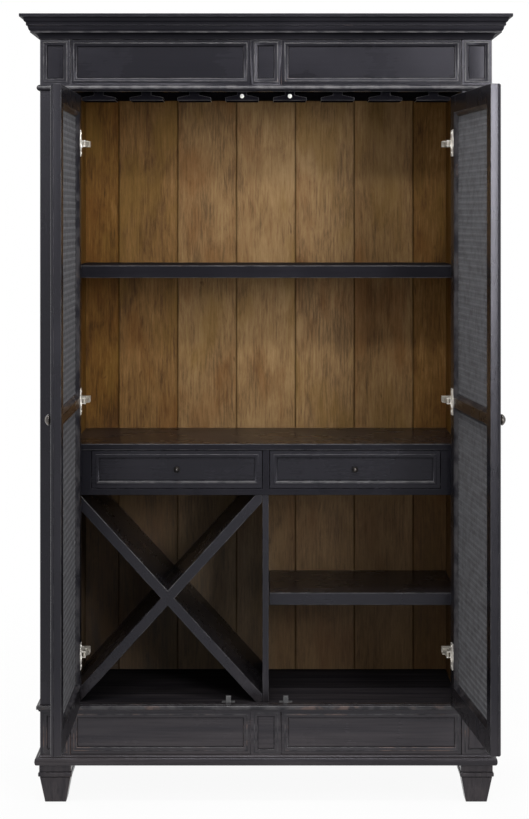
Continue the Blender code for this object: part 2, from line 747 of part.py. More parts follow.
def make_bumpers_and_catches():
    height = (FLANGE_LOW + CEILING) / 2
    for word, side in SIDES.items():
        ring = circle((side * RACK_RAIL_PITCH / 2, height), BUMPER_RADIUS, SMALL_STEPS)
        disc = prism_along_y(ring, SHUT_FACE, STEMWARE_FACE - FIT)
        piece(f"{word}_door_bumper", WHITE_NYLON, [disc])
    foot = FLOOR_TOP + FIT
    spots = {"left": -LEFT_CATCH_OFFSET, "right": RIGHT_CATCH_OFFSET}
    for word, x in spots.items():
        base = box(
            (x - CATCH_BASE_WIDTH / 2, SHUT_FACE, foot),
            (x + CATCH_BASE_WIDTH / 2, SHUT_FACE + CATCH_BASE_DEPTH, foot + CATCH_BASE_HEIGHT),
        )
        post = box(
            (x - CATCH_POST_WIDTH / 2, SHUT_FACE, foot + CATCH_BASE_HEIGHT / 2),
            (x + CATCH_POST_WIDTH / 2, SHUT_FACE + CATCH_POST_DEPTH,
             foot + CATCH_BASE_HEIGHT + CATCH_POST_HEIGHT),
        )
        piece(f"{word}_floor_catch", GREY_PLASTIC, [base, post])


# Drawers

def make_face_frame():
    end = HALF_INSIDE - FIT
    front = FACE_FRAME_FACE
    back = FACE_FRAME_BACK
    high = DECK_LOW - FIT
    half_stile = MIDDLE_STILE_WIDTH / 2
    inside = RUNNER_THICK / 2
    shapes = [box((-end, front, RUNNER_LOW), (end, back, RUNNER_TOP))]
    shapes.append(box((-half_stile, front, RUNNER_TOP - inside), (half_stile, back, high)))
    for side in SIDES.values():
        shapes.append(box((side * OPENING_OUTER, front, RUNNER_TOP - inside), (side * end, back, high)))
    piece("drawer_face_frame", BLACK_PAINT, shapes)


def knob(radius, reach, place):
    """Return a domed knob on a waisted neck, which stands out of a face towards -Y."""
    brim = KNOB_OUTLINE[-1][1]
    outline = [(0.0, 0.0)] + list(KNOB_OUTLINE)
    outline += arc((1.0, brim), (0.0, 1.0), upright=True)
    bm = turned([(radius * across, -reach * along) for across, along in outline], ROUND_STEPS)
    bmesh.ops.translate(bm, vec=place, verts=bm.verts)
    return bm


def make_drawers():
    low = RUNNER_TOP + DRAWER_GAP
    high = DECK_LOW - DRAWER_GAP
    inner = OPENING_INNER + DRAWER_GAP
    outer = OPENING_OUTER - DRAWER_GAP
    front = FACE_FRAME_FACE
    front_back = front + DRAWER_FRONT_THICK
    box_low = RUNNER_TOP + FIT
    box_high = DECK_LOW - DRAWER_BOX_DROP
    for word, side in SIDES.items():
        slide = pivot(f"{word}_drawer_slide", (side * DRAWER_MIDDLE, front, low), 0.0)
        shift = Vector((-side * DRAWER_MIDDLE, -front, -low))
        board = box((side * inner, front, low), (side * outer, front_back, high))
        recess = field(
            side * DRAWER_MIDDLE,
            (low + high) / 2,
            outer - inner - 2 * DRAWER_FIELD_MARGIN,
            high - low - 2 * DRAWER_FIELD_MARGIN,
            front,
            DRAWER_FIELD_DEPTH,
        )
        tray = drawer_tray(side, front_back + FIT, box_low, box_high)
        face = (side * DRAWER_MIDDLE, front + DRAWER_FIELD_DEPTH - FIT, (low + high) / 2)
        grip = knob(DRAWER_KNOB_RADIUS, DRAWER_KNOB_REACH, face)
        for shape in (board, recess, tray, grip):
            bmesh.ops.translate(shape, vec=shift, verts=shape.verts)
        piece(f"{word}_drawer_front", BLACK_PAINT, [board], [recess], slide)
        piece(f"{word}_drawer_box", BLACK_PAINT, [tray], (), slide)
        piece(f"{word}_drawer_knob", BLACK_METAL, [grip], (), slide, smooth=True)


def drawer_tray(side, front, low, high):
    """Return an open tray behind a drawer front."""
    near = side * (OPENING_INNER + DRAWER_SIDE_GAP)
    far = side * (OPENING_OUTER - DRAWER_SIDE_GAP)
    back = BACK_FACE - DRAWER_BACK_GAP

    def ring(wall, z):
        left = min(near, far) + wall
        right = max(near, far) - wall
        return [
            (left, front + wall, z), (right, front + wall, z),
            (right, back - wall, z), (left, back - wall, z),
        ]

    bottom = low + DRAWER_BOTTOM
    return skin([ring(0.0, low), ring(0.0, high), ring(DRAWER_WALL, high), ring(DRAWER_WALL, bottom)])


# Doors, in their own places: x is -side * u, y is v, both from the hinge axis

def panel_opening(side, low, high):
    """Return the cutter for a door panel: a straight opening, a groove and a sloping edge."""
    groove_front = DOOR_THICK - DOOR_CHAMFER - MESH_THICK - 2 * FIT
    groove_back = DOOR_THICK - DOOR_CHAMFER
    over = DOOR_CHAMFER / 2
    steps = (
        (0.0, -over),
        (0.0, groove_front),
        (MESH_LAP, groove_front),
        (MESH_LAP, groove_back),
        (0.0, groove_back),
        (DOOR_CHAMFER + over, DOOR_THICK + over),
    )
    rings = []
    for grow, v in steps:
        near = STILE_WIDTH - grow
        far = DOOR_WIDTH - STILE_WIDTH + grow
        rings.append([
            (-side * near, v, low - grow), (-side * far, v, low - grow),
            (-side * far, v, high + grow), (-side * near, v, high + grow),
        ])
    return skin(rings)


def panel_heights():
    """Return the lowest and highest point of each door panel's opening."""
    return {
        "lower": (DOOR_FOOT + BOTTOM_RAIL_WIDTH, MIDDLE_RAIL_LOW),
        "upper": (MIDDLE_RAIL_HIGH, DOOR_HEAD - TOP_RAIL_WIDTH),
    }


def make_mesh_panel(name, side, low, high, door):
    """Make the plain grid that stands for a mesh panel, with its rim in the frame's groove."""
    lap = MESH_LAP - FIT
    width = DOOR_WIDTH - 2 * STILE_WIDTH
    height = high - low
    bm = bmesh.new()
    bmesh.ops.create_grid(bm, x_segments=MESH_CELLS_ACROSS, y_segments=MESH_CELLS_UP, size=0.5)
    bmesh.ops.scale(bm, vec=(width, height, 1.0), verts=bm.verts)
    cells = bm.faces[:]
    bmesh.ops.inset_individual(bm, faces=cells, thickness=MESH_BAR / 2, use_even_offset=True)
    bmesh.ops.delete(bm, geom=cells, context="FACES")
    for vert in bm.verts:
        if abs(vert.co.x) > (width - MESH_BAR / 2) / 2:
            vert.co.x += math.copysign(lap, vert.co.x)
        if abs(vert.co.y) > (height - MESH_BAR / 2) / 2:
            vert.co.y += math.copysign(lap, vert.co.y)
    back = DOOR_THICK - DOOR_CHAMFER - FIT
    place = Matrix.Translation((-side * DOOR_WIDTH / 2, back, (low + high) / 2))
    bmesh.ops.transform(bm, matrix=place @ Matrix.Rotation(math.pi / 2, 4, "X"), verts=bm.verts)
    made = bmesh.ops.extrude_face_region(bm, geom=bm.faces[:])["geom"]
    front = [item for item in made if isinstance(item, bmesh.types.BMVert)]
    bmesh.ops.translate(bm, vec=(0.0, -MESH_THICK, 0.0), verts=front)
    piece(name, WIRE, [bm], (), door)


def cup_bore(side, height):
    """Return the cutter for a hinge cup's bore in the door's inner face."""
    ring = circle((-side * CUP_BACKSET, height), CUP_RADIUS + FIT, ROUND_STEPS)
    return prism_along_y(ring, DOOR_THICK - CUP_DEPTH - FIT, DOOR_THICK + CUP_DEPTH)


def make_hinge_cup(name, side, height, door):
    low = DOOR_THICK + FIT
    high = low + FLANGE_THICK
    waist = FLANGE_WAIST / 2
    wing = FLANGE_HEIGHT / 2
    wing_near = CUP_BACKSET - FLANGE_WING / 2
    wing_far = CUP_BACKSET + FLANGE_WING / 2
    near = CUP_PIN_U - LINK_HALF_WIDTH
    plan = (
        (near, waist), (wing_near - FLANGE_THICK, waist), (wing_near, wing), (wing_far, wing),
        (wing_far + FLANGE_THICK, waist), (FLANGE_WIDTH, waist),
    )
    outline = [(-side * u, height + z) for u, z in plan]
    outline += [(-side * u, height - z) for u, z in reversed(plan)]
    middle = (-side * CUP_BACKSET, height)
    cup_low = DOOR_THICK - CUP_DEPTH
    shapes = [
        prism_along_y(outline, low, high),
        prism_along_y(circle(middle, CUP_RADIUS, ROUND_STEPS), cup_low, (low + high) / 2),
    ]
    mouth_ring = circle(middle, CUP_RADIUS - CUP_WALL, ROUND_STEPS)
    mouth = prism_along_y(mouth_ring, cup_low + CUP_WALL, high + FLANGE_THICK)
    ear_high = CUP_PIN_V + LINK_HALF_WIDTH
    for way in (-1, 1):
        ears = box(
            (-side * near, (low + high) / 2, height + way * PLATE_INSIDE),
            (-side * (CUP_PIN_U + LINK_HALF_WIDTH), ear_high, height + way * PLATE_OUTSIDE),
        )
        shapes.append(ears)
    pin = circle((-side * CUP_PIN_U, CUP_PIN_V), HINGE_PIN_RADIUS, SMALL_STEPS)
    reach = PLATE_OUTSIDE + RIVET_HEIGHT
    shapes.append(prism_along_z(pin, height - reach, height + reach))
    piece(name, NICKEL, shapes, [mouth], door)


def make_hinge_link(name, side, height, links):
    half = LINK_HALF_WIDTH
    outline = []
    for centre, start in ((LINK_LENGTH, -math.pi / 2), (0.0, math.pi / 2)):
        for index in range(SMALL_STEPS // 2 + 1):
            turn = start + math.pi * index / (SMALL_STEPS // 2)
            outline.append((-side * (centre + half * math.cos(turn)), half * math.sin(turn)))
    low = height - LINK_HEIGHT / 2
    high = height + LINK_HEIGHT / 2
    bar = prism_along_z(outline, low, high)
    eye = circle((0.0, 0.0), HINGE_PIN_RADIUS + FIT, SMALL_STEPS)
    piece(name, NICKEL, [bar], [prism_along_z(eye, low - half, high + half)], links)


def make_hinge_arm(name, side, height):
    def place(u, v, z):
        return (side * (HINGE_X - u), FRONT + v, height + z)

    wall = -DOOR_GAP + FIT
    foot = wall + ARM_FOOT_THICK
    web_front = ARM_PIN_V + ARM_WEB_SETBACK
    web_back = web_front + ARM_WEB_THICK
    near = ARM_PIN_U - ARM_CHEEK_HALF
    far = ARM_PIN_U + ARM_CHEEK_HALF
    half_foot = ARM_FOOT_HEIGHT / 2
    shapes = [
        box(place(wall, web_front, -half_foot), place(foot, web_front + ARM_FOOT_LENGTH, half_foot)),
        box(place((wall + foot) / 2, web_front, -PLATE_OUTSIDE), place(far, web_back, PLATE_OUTSIDE)),
    ]
    for way in (-1, 1):
        shapes.append(box(
            place(near, ARM_PIN_V - ARM_CHEEK_NOSE, way * PLATE_INSIDE),
            place(far, (web_front + web_back) / 2, way * PLATE_OUTSIDE),
        ))
        x, y, z = place(ARM_PIN_U, ARM_PIN_V, way * (PLATE_OUTSIDE - PLATE_THICK / 2))
        tip = height + way * (PLATE_OUTSIDE + RIVET_HEIGHT)
        shapes.append(prism_along_z(circle((x, y), RIVET_RADIUS, SMALL_STEPS), min(z, tip), max(z, tip)))
    piece(name, NICKEL, shapes)


def link_bearing(door_angle):
    """Return the angle, from the door's face, at which a link points straight at the arm's pin."""
    reach = math.hypot(ARM_PIN_U, ARM_PIN_V)
    bearing = math.atan2(ARM_PIN_V, ARM_PIN_U) + door_angle
    angle = math.atan2(reach * math.sin(bearing) - CUP_PIN_V, reach * math.cos(bearing) - CUP_PIN_U)
    return angle if angle > -math.pi / 2 else angle + 2 * math.pi


def link_ratio():
    """Return how far a link turns on its pin for each turn of the door, shut to open."""
    return (link_bearing(LINK_SPAN) - link_bearing(0.0)) / LINK_SPAN


def make_door(word, side, angle):
    door = pivot(f"{word}_door_pivot", (side * HINGE_X, FRONT, 0.0), side * angle)
    cup_pin = (-side * CUP_PIN_U, CUP_PIN_V, 0.0)
    link_angle = link_bearing(0.0) + link_ratio() * angle
    links = pivot(f"{word}_link_pivot", cup_pin, -side * link_angle, door)
    body = box((0.0, 0.0, DOOR_FOOT), (-side * DOOR_WIDTH, DOOR_THICK, DOOR_HEAD))
    cuts = [panel_opening(side, low, high) for low, high in panel_heights().values()]
    cuts += [cup_bore(side, height) for height in HINGE_HEIGHTS.values()]
    piece(f"{word}_door_frame", BLACK_PAINT, [body], cuts, door)
    for level, (low, high) in panel_heights().items():
        make_mesh_panel(f"{word}_{level}_mesh", side, low, high, door)
    knob_place = (-side * (DOOR_WIDTH - STILE_WIDTH / 2), -FIT, MIDDLE_RAIL_MIDDLE)
    grip = knob(DOOR_KNOB_RADIUS, DOOR_KNOB_REACH, knob_place)
    piece(f"{word}_door_knob", BLACK_METAL, [grip], (), door, smooth=True)
    for level, height in HINGE_HEIGHTS.items():
        make_hinge_cup(f"{word}_{level}_hinge_cup", side, height, door)
        make_hinge_link(f"{word}_{level}_hinge_link", side, height, links)
        make_hinge_arm(f"{word}_{level}_hinge_arm", side, height)


def main():
    for thing in list(bpy.data.objects):
        bpy.data.objects.remove(thing)
    make_posts()
    make_sides_and_back()
    make_crown()
    make_frieze_rail()
    make_base_rail()
    make_base_moulding()
    make_feet()
    make_inside_boards()
    make_bottle_rack()
    make_shelves()
    make_stemware_rack()
    make_bumpers_and_catches()
    make_face_frame()
    make_drawers()
    make_door("left", LEFT, LEFT_DOOR_ANGLE)
    make_door("right", RIGHT, RIGHT_DOOR_ANGLE)
    print(f"hinge links turn {link_ratio():.4f} times as far as their door")


main()
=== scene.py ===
"""Looks of a display cabinet with mesh doors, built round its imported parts.

Metres, +Z up, the front faces -Y. Every piece lies where its part lies at rest, with the doors open.
"""

import json
import math

import bmesh
import bpy
from bpy.props import FloatProperty, FloatVectorProperty, PointerProperty
from mathutils import Matrix, Vector

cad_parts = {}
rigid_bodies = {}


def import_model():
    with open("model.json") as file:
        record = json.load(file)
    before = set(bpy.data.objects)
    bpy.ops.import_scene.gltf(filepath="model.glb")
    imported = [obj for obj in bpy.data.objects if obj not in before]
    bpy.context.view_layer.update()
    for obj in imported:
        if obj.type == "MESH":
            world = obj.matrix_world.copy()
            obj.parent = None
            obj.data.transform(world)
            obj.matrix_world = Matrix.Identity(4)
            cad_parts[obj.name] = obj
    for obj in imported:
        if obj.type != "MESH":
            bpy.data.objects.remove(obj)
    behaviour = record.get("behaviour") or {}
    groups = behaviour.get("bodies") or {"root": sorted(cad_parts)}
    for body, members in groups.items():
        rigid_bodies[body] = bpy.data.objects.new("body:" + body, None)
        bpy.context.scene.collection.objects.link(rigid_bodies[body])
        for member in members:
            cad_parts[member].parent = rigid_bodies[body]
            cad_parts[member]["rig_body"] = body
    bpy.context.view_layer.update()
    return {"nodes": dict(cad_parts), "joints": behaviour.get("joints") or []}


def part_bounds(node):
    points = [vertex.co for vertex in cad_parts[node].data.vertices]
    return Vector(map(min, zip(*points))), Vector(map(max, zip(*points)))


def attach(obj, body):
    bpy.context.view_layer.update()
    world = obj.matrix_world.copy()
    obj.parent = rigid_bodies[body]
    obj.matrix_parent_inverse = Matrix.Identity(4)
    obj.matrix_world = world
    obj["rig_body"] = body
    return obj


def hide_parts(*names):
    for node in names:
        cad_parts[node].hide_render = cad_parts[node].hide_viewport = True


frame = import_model()

bl_info = {
    "name": "Display Cabinet",
    "version": (1, 0, 0),
    "blender": (4, 5, 0),
    "location": "3D View > Sidebar > Cabinet",
    "description": "Makes the painted, stained and metal pieces of a display cabinet",
    "category": "Object",
}

NODES = frame["nodes"]
JOINTS = {joint["name"]: joint for joint in frame["joints"]}
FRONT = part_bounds("left_front_post")[0].y
SIDES = {"left": -1, "right": 1}
LEVELS = ("lower", "middle", "upper")

# The photograph's frame in pixels, and the sideways shift as a share of its height
FRAME_HEIGHT = 819
FOCAL_PIXELS = 1977
SHIFT_PIXELS = -195.5
SIDE_SHIFT = -0.0018

# Lamps: name, place, target, width and height, and how wide the light spreads in degrees
LAMPS = (
    ("key", (1.58, FRONT - 3.3, 2.2), (0.0, 0.4, 1.60), (0.9, 1.4), 60.0),
    ("strip", (1.39, FRONT - 3.3, 1.75), (0.4, -0.2, 1.50), (0.3, 1.5), 50.0),
    ("fill", (-1.6, FRONT - 3.3, 2.2), (0.0, 0.4, 1.60), (0.9, 1.4), 60.0),
    ("high", (0.0, FRONT - 3.2, 3.3), (0.0, 0.5, 1.5), (1.6, 0.4), 70.0),
    ("overhead", (0.0, FRONT - 1.2, 3.4), (0.0, FRONT, 1.4), (2.2, 0.10), 120.0),
)

# The floor's half width, and how far out it fades to white, from what share of white near the feet
FLOOR_REACH = 6.0
FLOOR_FADE = (0.9, 3.0)
FLOOR_WHITE = 0.93
WHITE = (1.0, 1.0, 1.0, 1.0)

# Specular level and roughness of the black paint by how it was rubbed down, and the cool tint of its
# sheen, which stands for the lamps' cool light
PAINT_GLOSS = {
    "matt": (0.0, 0.50), "flat": (0.07, 0.65), "soft": (0.09, 0.42), "satin": (0.14, 0.23),
    "rubbed": (0.24, 0.23), "bright": (0.32, 0.23),
}
COOL_LAMP_SHEEN_TINT = (0.91, 0.89, 1.0, 1.0)
PORE_SHADE = 0.45

# Heights over which the paint turns warm and pale, from wear and from a painted reflection of the floor,
# and its arrises barer, towards the floor
WARM_AND_FLOOR_SHEEN_HEIGHTS = (0.42, 0.04)
BARE_HEIGHTS = (0.45, 0.06)

# Patterns in the stained wood: squeeze across, through and along a board, detail, roughness, distortion
WOOD_PATTERNS = {
    "broad": ((10.0, 1.0, 2.4), 4.0, 0.6, 1.2),
    "blotch": ((26.0, 1.0, 8.0), 5.0, 0.66, 0.8),
    "streak": ((230.0, 1.0, 13.0), 5.0, 0.70, 0.3),
    "fibre": ((720.0, 1.0, 36.0), 3.0, 0.6, 0.0),
    "reds": ((9.0, 1.0, 3.4), 3.0, 0.6, 0.0),
    "knots": ((38.0, 1.0, 15.0), 2.0, 0.5, 0.6),
}
# Share in the wood's tone of chance from board to board, and of each pattern
CHANCE_SHARE = 0.06
TONE_SHARES = (("broad", 0.34), ("blotch", 0.40), ("streak", 0.50), ("fibre", 0.26))
# Tints laid over the wood: pattern, its values where the tint starts and is full, share, colour
WOOD_TINTS = (
    ("reds", 0.50, 0.70, 0.5, "wood_red"),
    ("reds", 0.48, 0.32, 0.5, "wood_olive"),
    ("knots", 0.70, 0.80, 0.7, "wood_dark"),
    ("fibre", 0.60, 0.72, 0.4, "wood_dark"),
)
# From board to board through the grain, in metres
BOARD_STEP = 3.7
# Middle of the paler boards that paint sheen and light on the back panel, set right of centre against the
# right door's shade, and how far from it they fade, in boards
SHEEN_MIDDLE = 0.3
SHEEN_FADE = (3.2, 0.9)
# Heights over which painted shade darkens and greys the lower bays' wood, its share, and how grey it is
# from right to left
LOW_SHADE_HEIGHTS = (1.00, 0.45)
LOW_SHADE_SHARE = 0.50
SHADE_GREY_TURN = (0.05, -0.05)
SHADE_GREY_RIGHT = 0.4
# Where the seam between boards lies, in boards from a board's middle
SEAM = (0.474, 0.500)
SEAM_SHADE = 0.6

# Mottled finishes: two colours, roughness, share of metal, scale of the mottle and specular level
MOTTLES = {
    "knob_bronze": ("knob", "knob_worn", 0.20, 0.9, 130.0, 0.5),
    "hinge_nickel": ("nickel", "nickel_dull", 0.38, 0.55, 90.0, 0.5),
    "hinge_steel": ("steel", "steel_dull", 0.42, 0.55, 90.0, 0.5),
    "mesh_wire": ("wire", "wire_dark", 0.55, 0.2, 38.0, 0.15),
    "mesh_strip": ("strip", "strip_dark", 0.46, 0.35, 38.0, 0.2),
    "bumper_nylon": ("nylon", "nylon_grey", 0.40, 0.0, 160.0, 0.5),
    "catch_plastic": ("plastic", "plastic_dark", 0.42, 0.0, 120.0, 0.5),
}
TOOTH_SCALE = 14.0

# Height above which the posts' blocks stand beside the frieze
HEAD = 1.795
# Heights between which the crown's fillets, the bead under the frieze and the base's cap take the worn
# paint as painted highlight lines
CROWN_HIGHLIGHT_LINES = ((1.9352, 1.9394), (1.9505, 1.9524))
BEAD_HIGHLIGHT_LINE = ((1.7930, 1.8060),)
CAP_HIGHLIGHT_LINE = ((0.2372, 0.2462),)
# Heights between which a groove runs round a foot
FOOT_GROOVES = ((0.0645, 0.0667), (0.0783, 0.0805))

# Slots of a painted piece: its paint, its worn paint, which also paints highlights, and the satin paint of
# its head
PAINT_SLOT, WORN_AND_HIGHLIGHT_SLOT, HEAD_SLOT = range(3)

# Facets of an arris, of a door's round, round a wire, a strip and a screw, and round what is turned
ARRIS_STEPS = 3
ROUND_STEPS = 4
WIRE_SIDES = 6
STRIP_SIDES = 8
SCREW_SIDES = 20
TURN_STEPS = 32

# Folds sharper than this are arrises
SHARP = math.radians(35.0)
# An arris is eased if it is this many bevels long, and the faces beside it this many wide
EASED_LENGTH = 3
EASED_WIDTH = 2.2
# How round a bead is, as a share of its rise
BEAD_ROUND = 0.75

# How far a face looks up: a bead's top and underside, which set where beads take a painted highlight, the
# underside of a line, and the wall of a groove
LOOKS_UP = 0.2
LOOKS_DOWN = -0.2
LINE_DOWN = -0.3
WALL = 0.8
# How far a field looks to the front, and a chamfer beside a door's mesh, which takes a painted highlight,
# to the back, with its least area
FIELD_FRONT = -0.99
CHAMFER_BACK = (0.5, 0.9)
CHAMFER_AREA = 1e-3

# Distances within which points are on one rim, on one line, or the same
ON_RIM = 1e-4
ON_LINE = 1e-5
SAME = 1e-6

# Outlines from foot to tip, in shares of the radius and of the reach
KNOB_OUTLINE = (
    (0.0, 0.0), (0.74, 0.0), (0.74, 0.05), (0.66, 0.09), (0.62, 0.15), (0.68, 0.22), (0.88, 0.29),
    (0.98, 0.36), (1.0, 0.43), (0.97, 0.52), (0.88, 0.63), (0.72, 0.76), (0.52, 0.88), (0.28, 0.97),
    (0.0, 1.0),
)
BUMPER_OUTLINE = (
    (0.0, 0.0), (1.0, 0.0), (1.0, 0.45), (0.97, 0.66), (0.88, 0.82), (0.72, 0.92), (0.5, 0.97),
    (0.25, 1.0), (0.0, 1.0),
)

# A screw's rings by rise and shrink, and its slot's reach, half width and depth, in shares of the head
SCREW_RINGS = ((0.55, 0.97), (0.30, 0.88), (0.15, 0.86))
SLOT_REACH = 0.52
SLOT_WIDTH = 0.13
SLOT_DEPTH = 0.6


def length(name, description, default):
    return FloatProperty(name=name, description=description, default=default, unit="LENGTH", precision=5)


def angle(name, description, degrees):
    return FloatProperty(
        name=name, description=description, default=math.radians(degrees), subtype="ANGLE")


def power(name, description, default):
    return FloatProperty(name=name, description=description, default=default, unit="POWER")


def colour(name, description, default):
    return FloatVectorProperty(
        name=name, description=description, default=default, size=3, min=0.0, max=1.0, subtype="COLOR")


class CabinetSizes(bpy.types.PropertyGroup):
    fine_arris: length("Fine arris", "Width of the bevel on the crown and round the drawers", 0.0007)
    arris: length("Painted arris", "Width of the worn bevel on painted arrises", 0.0013)
    board_arris: length("Board arris", "Width of the worn bevel on shelves and decks", 0.0018)
    metal_arris: length("Metal arris", "Width of the bevel on plated hinge parts", 0.0004)
    catch_arris: length("Catch arris", "Width of the bevel on the floor catches", 0.0012)
    bead_spread: length("Bead spread", "How far a field's moulding reaches out over its face", 0.0060)
    bead_margin: length("Bead margin", "Flat strip on both sides of a field's bead", 0.0018)
    bead_rise: length("Bead rise", "How far a bead stands off the slope round its field", 0.0024)
    field_groove: length("Field groove", "Width and depth of the groove round a recessed field", 0.0016)
    groove_depth: length("Groove depth", "Depth of the grooves above and below a foot's bead", 0.0022)
    door_round: length("Door round", "Radius of the round on the doors' outer arrises", 0.0058)
    quirk_place: length("Quirk place", "From a door's outer face to the quirk in its edge", 0.0076)
    quirk_width: length("Quirk width", "Half the width of the quirk in a door's edge", 0.0008)
    quirk_depth: length("Quirk depth", "Depth of the quirk in a door's edge", 0.0011)
    board_width: length("Board width", "Width of the boards in the back panel", 0.161)
    upright_pitch: length("Upright pitch", "From one upright wire of the mesh to the next", 0.0050)
    cross_pitch: length("Cross pitch", "From one cross strip of the mesh to the next", 0.0152)
    wire_radius: length("Wire radius", "Radius of the upright wires of the mesh", 0.0008)
    strip_height: length("Strip height", "Height of the flattened cross strips of the mesh", 0.0068)
    strip_thickness: length("Strip thickness", "Thickness of the cross strips of the mesh", 0.0011)
    screw_radius: length("Screw radius", "Radius of the hinge screws' heads", 0.0034)
    screw_height: length("Screw height", "Height of the hinge screws' heads", 0.0014)
    wing_tip: length("Wing tip", "How much of a hinge cup's wing counts as its tip", 0.001)
    cup_screw: length("Cup screw", "From the tip of a hinge cup's wing to its screw", 0.0085)
    arm_screw: length("Arm screw", "From an arm's rear edge and from its middle to its screws", 0.010)
    arm_foot: length("Arm foot", "Thickness of a hinge arm's foot under its screws", 0.0025)
    left_door_angle: angle("Left door angle", "How far the left door stands open", 90.0)
    right_door_angle: angle("Right door angle", "How far the right door stands open", 95.3)


class CabinetColours(bpy.types.PropertyGroup):
    paint: colour("Paint", "Satin black paint", (0.0055, 0.0053, 0.0072))
    paint_pale: colour("Pale paint", "Paint where it is thin", (0.0105, 0.0100, 0.0130))
    # Paint low down: warm from wear, and brightened as a painted reflection of the floor
    paint_warm_and_floor_sheen: colour("Warm paint", "Paint with wood showing through, low down", (0.044, 0.038, 0.039))
    # The worn and rubbed colours also paint highlights on beads, mouldings and chamfers, through the worn
    # paint
    worn: colour("Worn arris", "Paint rubbed thin on an arris", (0.040, 0.038, 0.041))
    rubbed: colour("Rubbed arris", "Wood that shows on a rubbed arris", (0.078, 0.054, 0.048))
    wood_dark: colour("Dark wood", "Dark streaks of the stained wood", (0.0506, 0.0202, 0.0041))
    wood_middle: colour("Wood", "Body of the stained wood", (0.1380, 0.0644, 0.0120))
    wood_pale: colour("Pale wood", "Pale streaks of the stained wood", (0.2484, 0.1362, 0.0414))
    wood_red: colour("Red wood", "Reddish patches of the stained wood", (0.1380, 0.0515, 0.0083))
    wood_olive: colour("Olive wood", "Yellowish patches of the stained wood", (0.1518, 0.0846, 0.0147))
    # The paler tan of the middle boards is painted sheen and light
    wood_painted_sheen: colour("Tan wood", "Boards in the middle of the back panel", (0.3036, 0.1978, 0.0966))
    # Painted shade on the wood low down, greyer on the left
    wood_painted_shade: colour("Grey wood", "Greyed stain low down, more on the left", (0.066, 0.069, 0.069))
    knob: colour("Knob metal", "Dark bronze of the knobs", (0.065, 0.060, 0.058))
    knob_worn: colour("Worn knob metal", "Bronze where hands have rubbed it", (0.170, 0.150, 0.135))
    nickel: colour("Nickel", "Plating of the hinges' cups", (0.74, 0.71, 0.66))
    nickel_dull: colour("Dull nickel", "Plating where it has dulled", (0.56, 0.53, 0.49))
    steel: colour("Hinge steel", "Duller plating of the hinges' arms and links", (0.46, 0.43, 0.38))
    steel_dull: colour("Dull hinge steel", "Stains on the hinges' arms and links", (0.32, 0.30, 0.26))
    wire: colour("Wire", "Dull metal of the mesh's upright wires", (0.070, 0.070, 0.075))
    wire_dark: colour("Dark wire", "Tarnish on the upright wires", (0.046, 0.044, 0.047))
    # Cross strips are coloured paler than the uprights, partly as painted light where they catch the lamps
    strip: colour("Strip", "Dull metal of the mesh's cross strips", (0.110, 0.110, 0.117))
    strip_dark: colour("Dark strip", "Tarnish on the cross strips", (0.078, 0.076, 0.080))
    nylon: colour("Nylon", "White door bumpers", (0.80, 0.80, 0.77))
    nylon_grey: colour("Grey nylon", "Scuffs on the door bumpers", (0.62, 0.61, 0.58))
    plastic: colour("Plastic", "Grey floor catches", (0.080, 0.080, 0.082))
    plastic_dark: colour("Dark plastic", "Mottle in the floor catches", (0.052, 0.052, 0.054))
    floor: colour("Floor", "Pale floor", (0.90, 0.90, 0.90))
    floor_speck: colour("Floor specks", "Paler specks in the floor", (0.94, 0.94, 0.94))


class CabinetStage(bpy.types.PropertyGroup):
    camera_distance: length("Camera distance", "From the case's front to the camera", 4.97)
    camera_height: length("Camera height", "From the floor to the camera", 1.481)
    key: power("Key light", "Soft light on the right", 6.8)
    strip: power("Strip light", "Narrow light on the right", 3.2)
    fill: power("Fill light", "Soft light on the left", 1.4)
    high: power("High light", "Narrow light from above", 7.0)
    overhead: power("Overhead light", "Thin light above the front", 28.0)
    ambient: FloatProperty(name="Ambient", description="Light from all round", default=0.78, min=0.0)


def sizes():
    return bpy.context.scene.cabinet_sizes


def colours():
    return bpy.context.scene.cabinet_colours


# Finishes

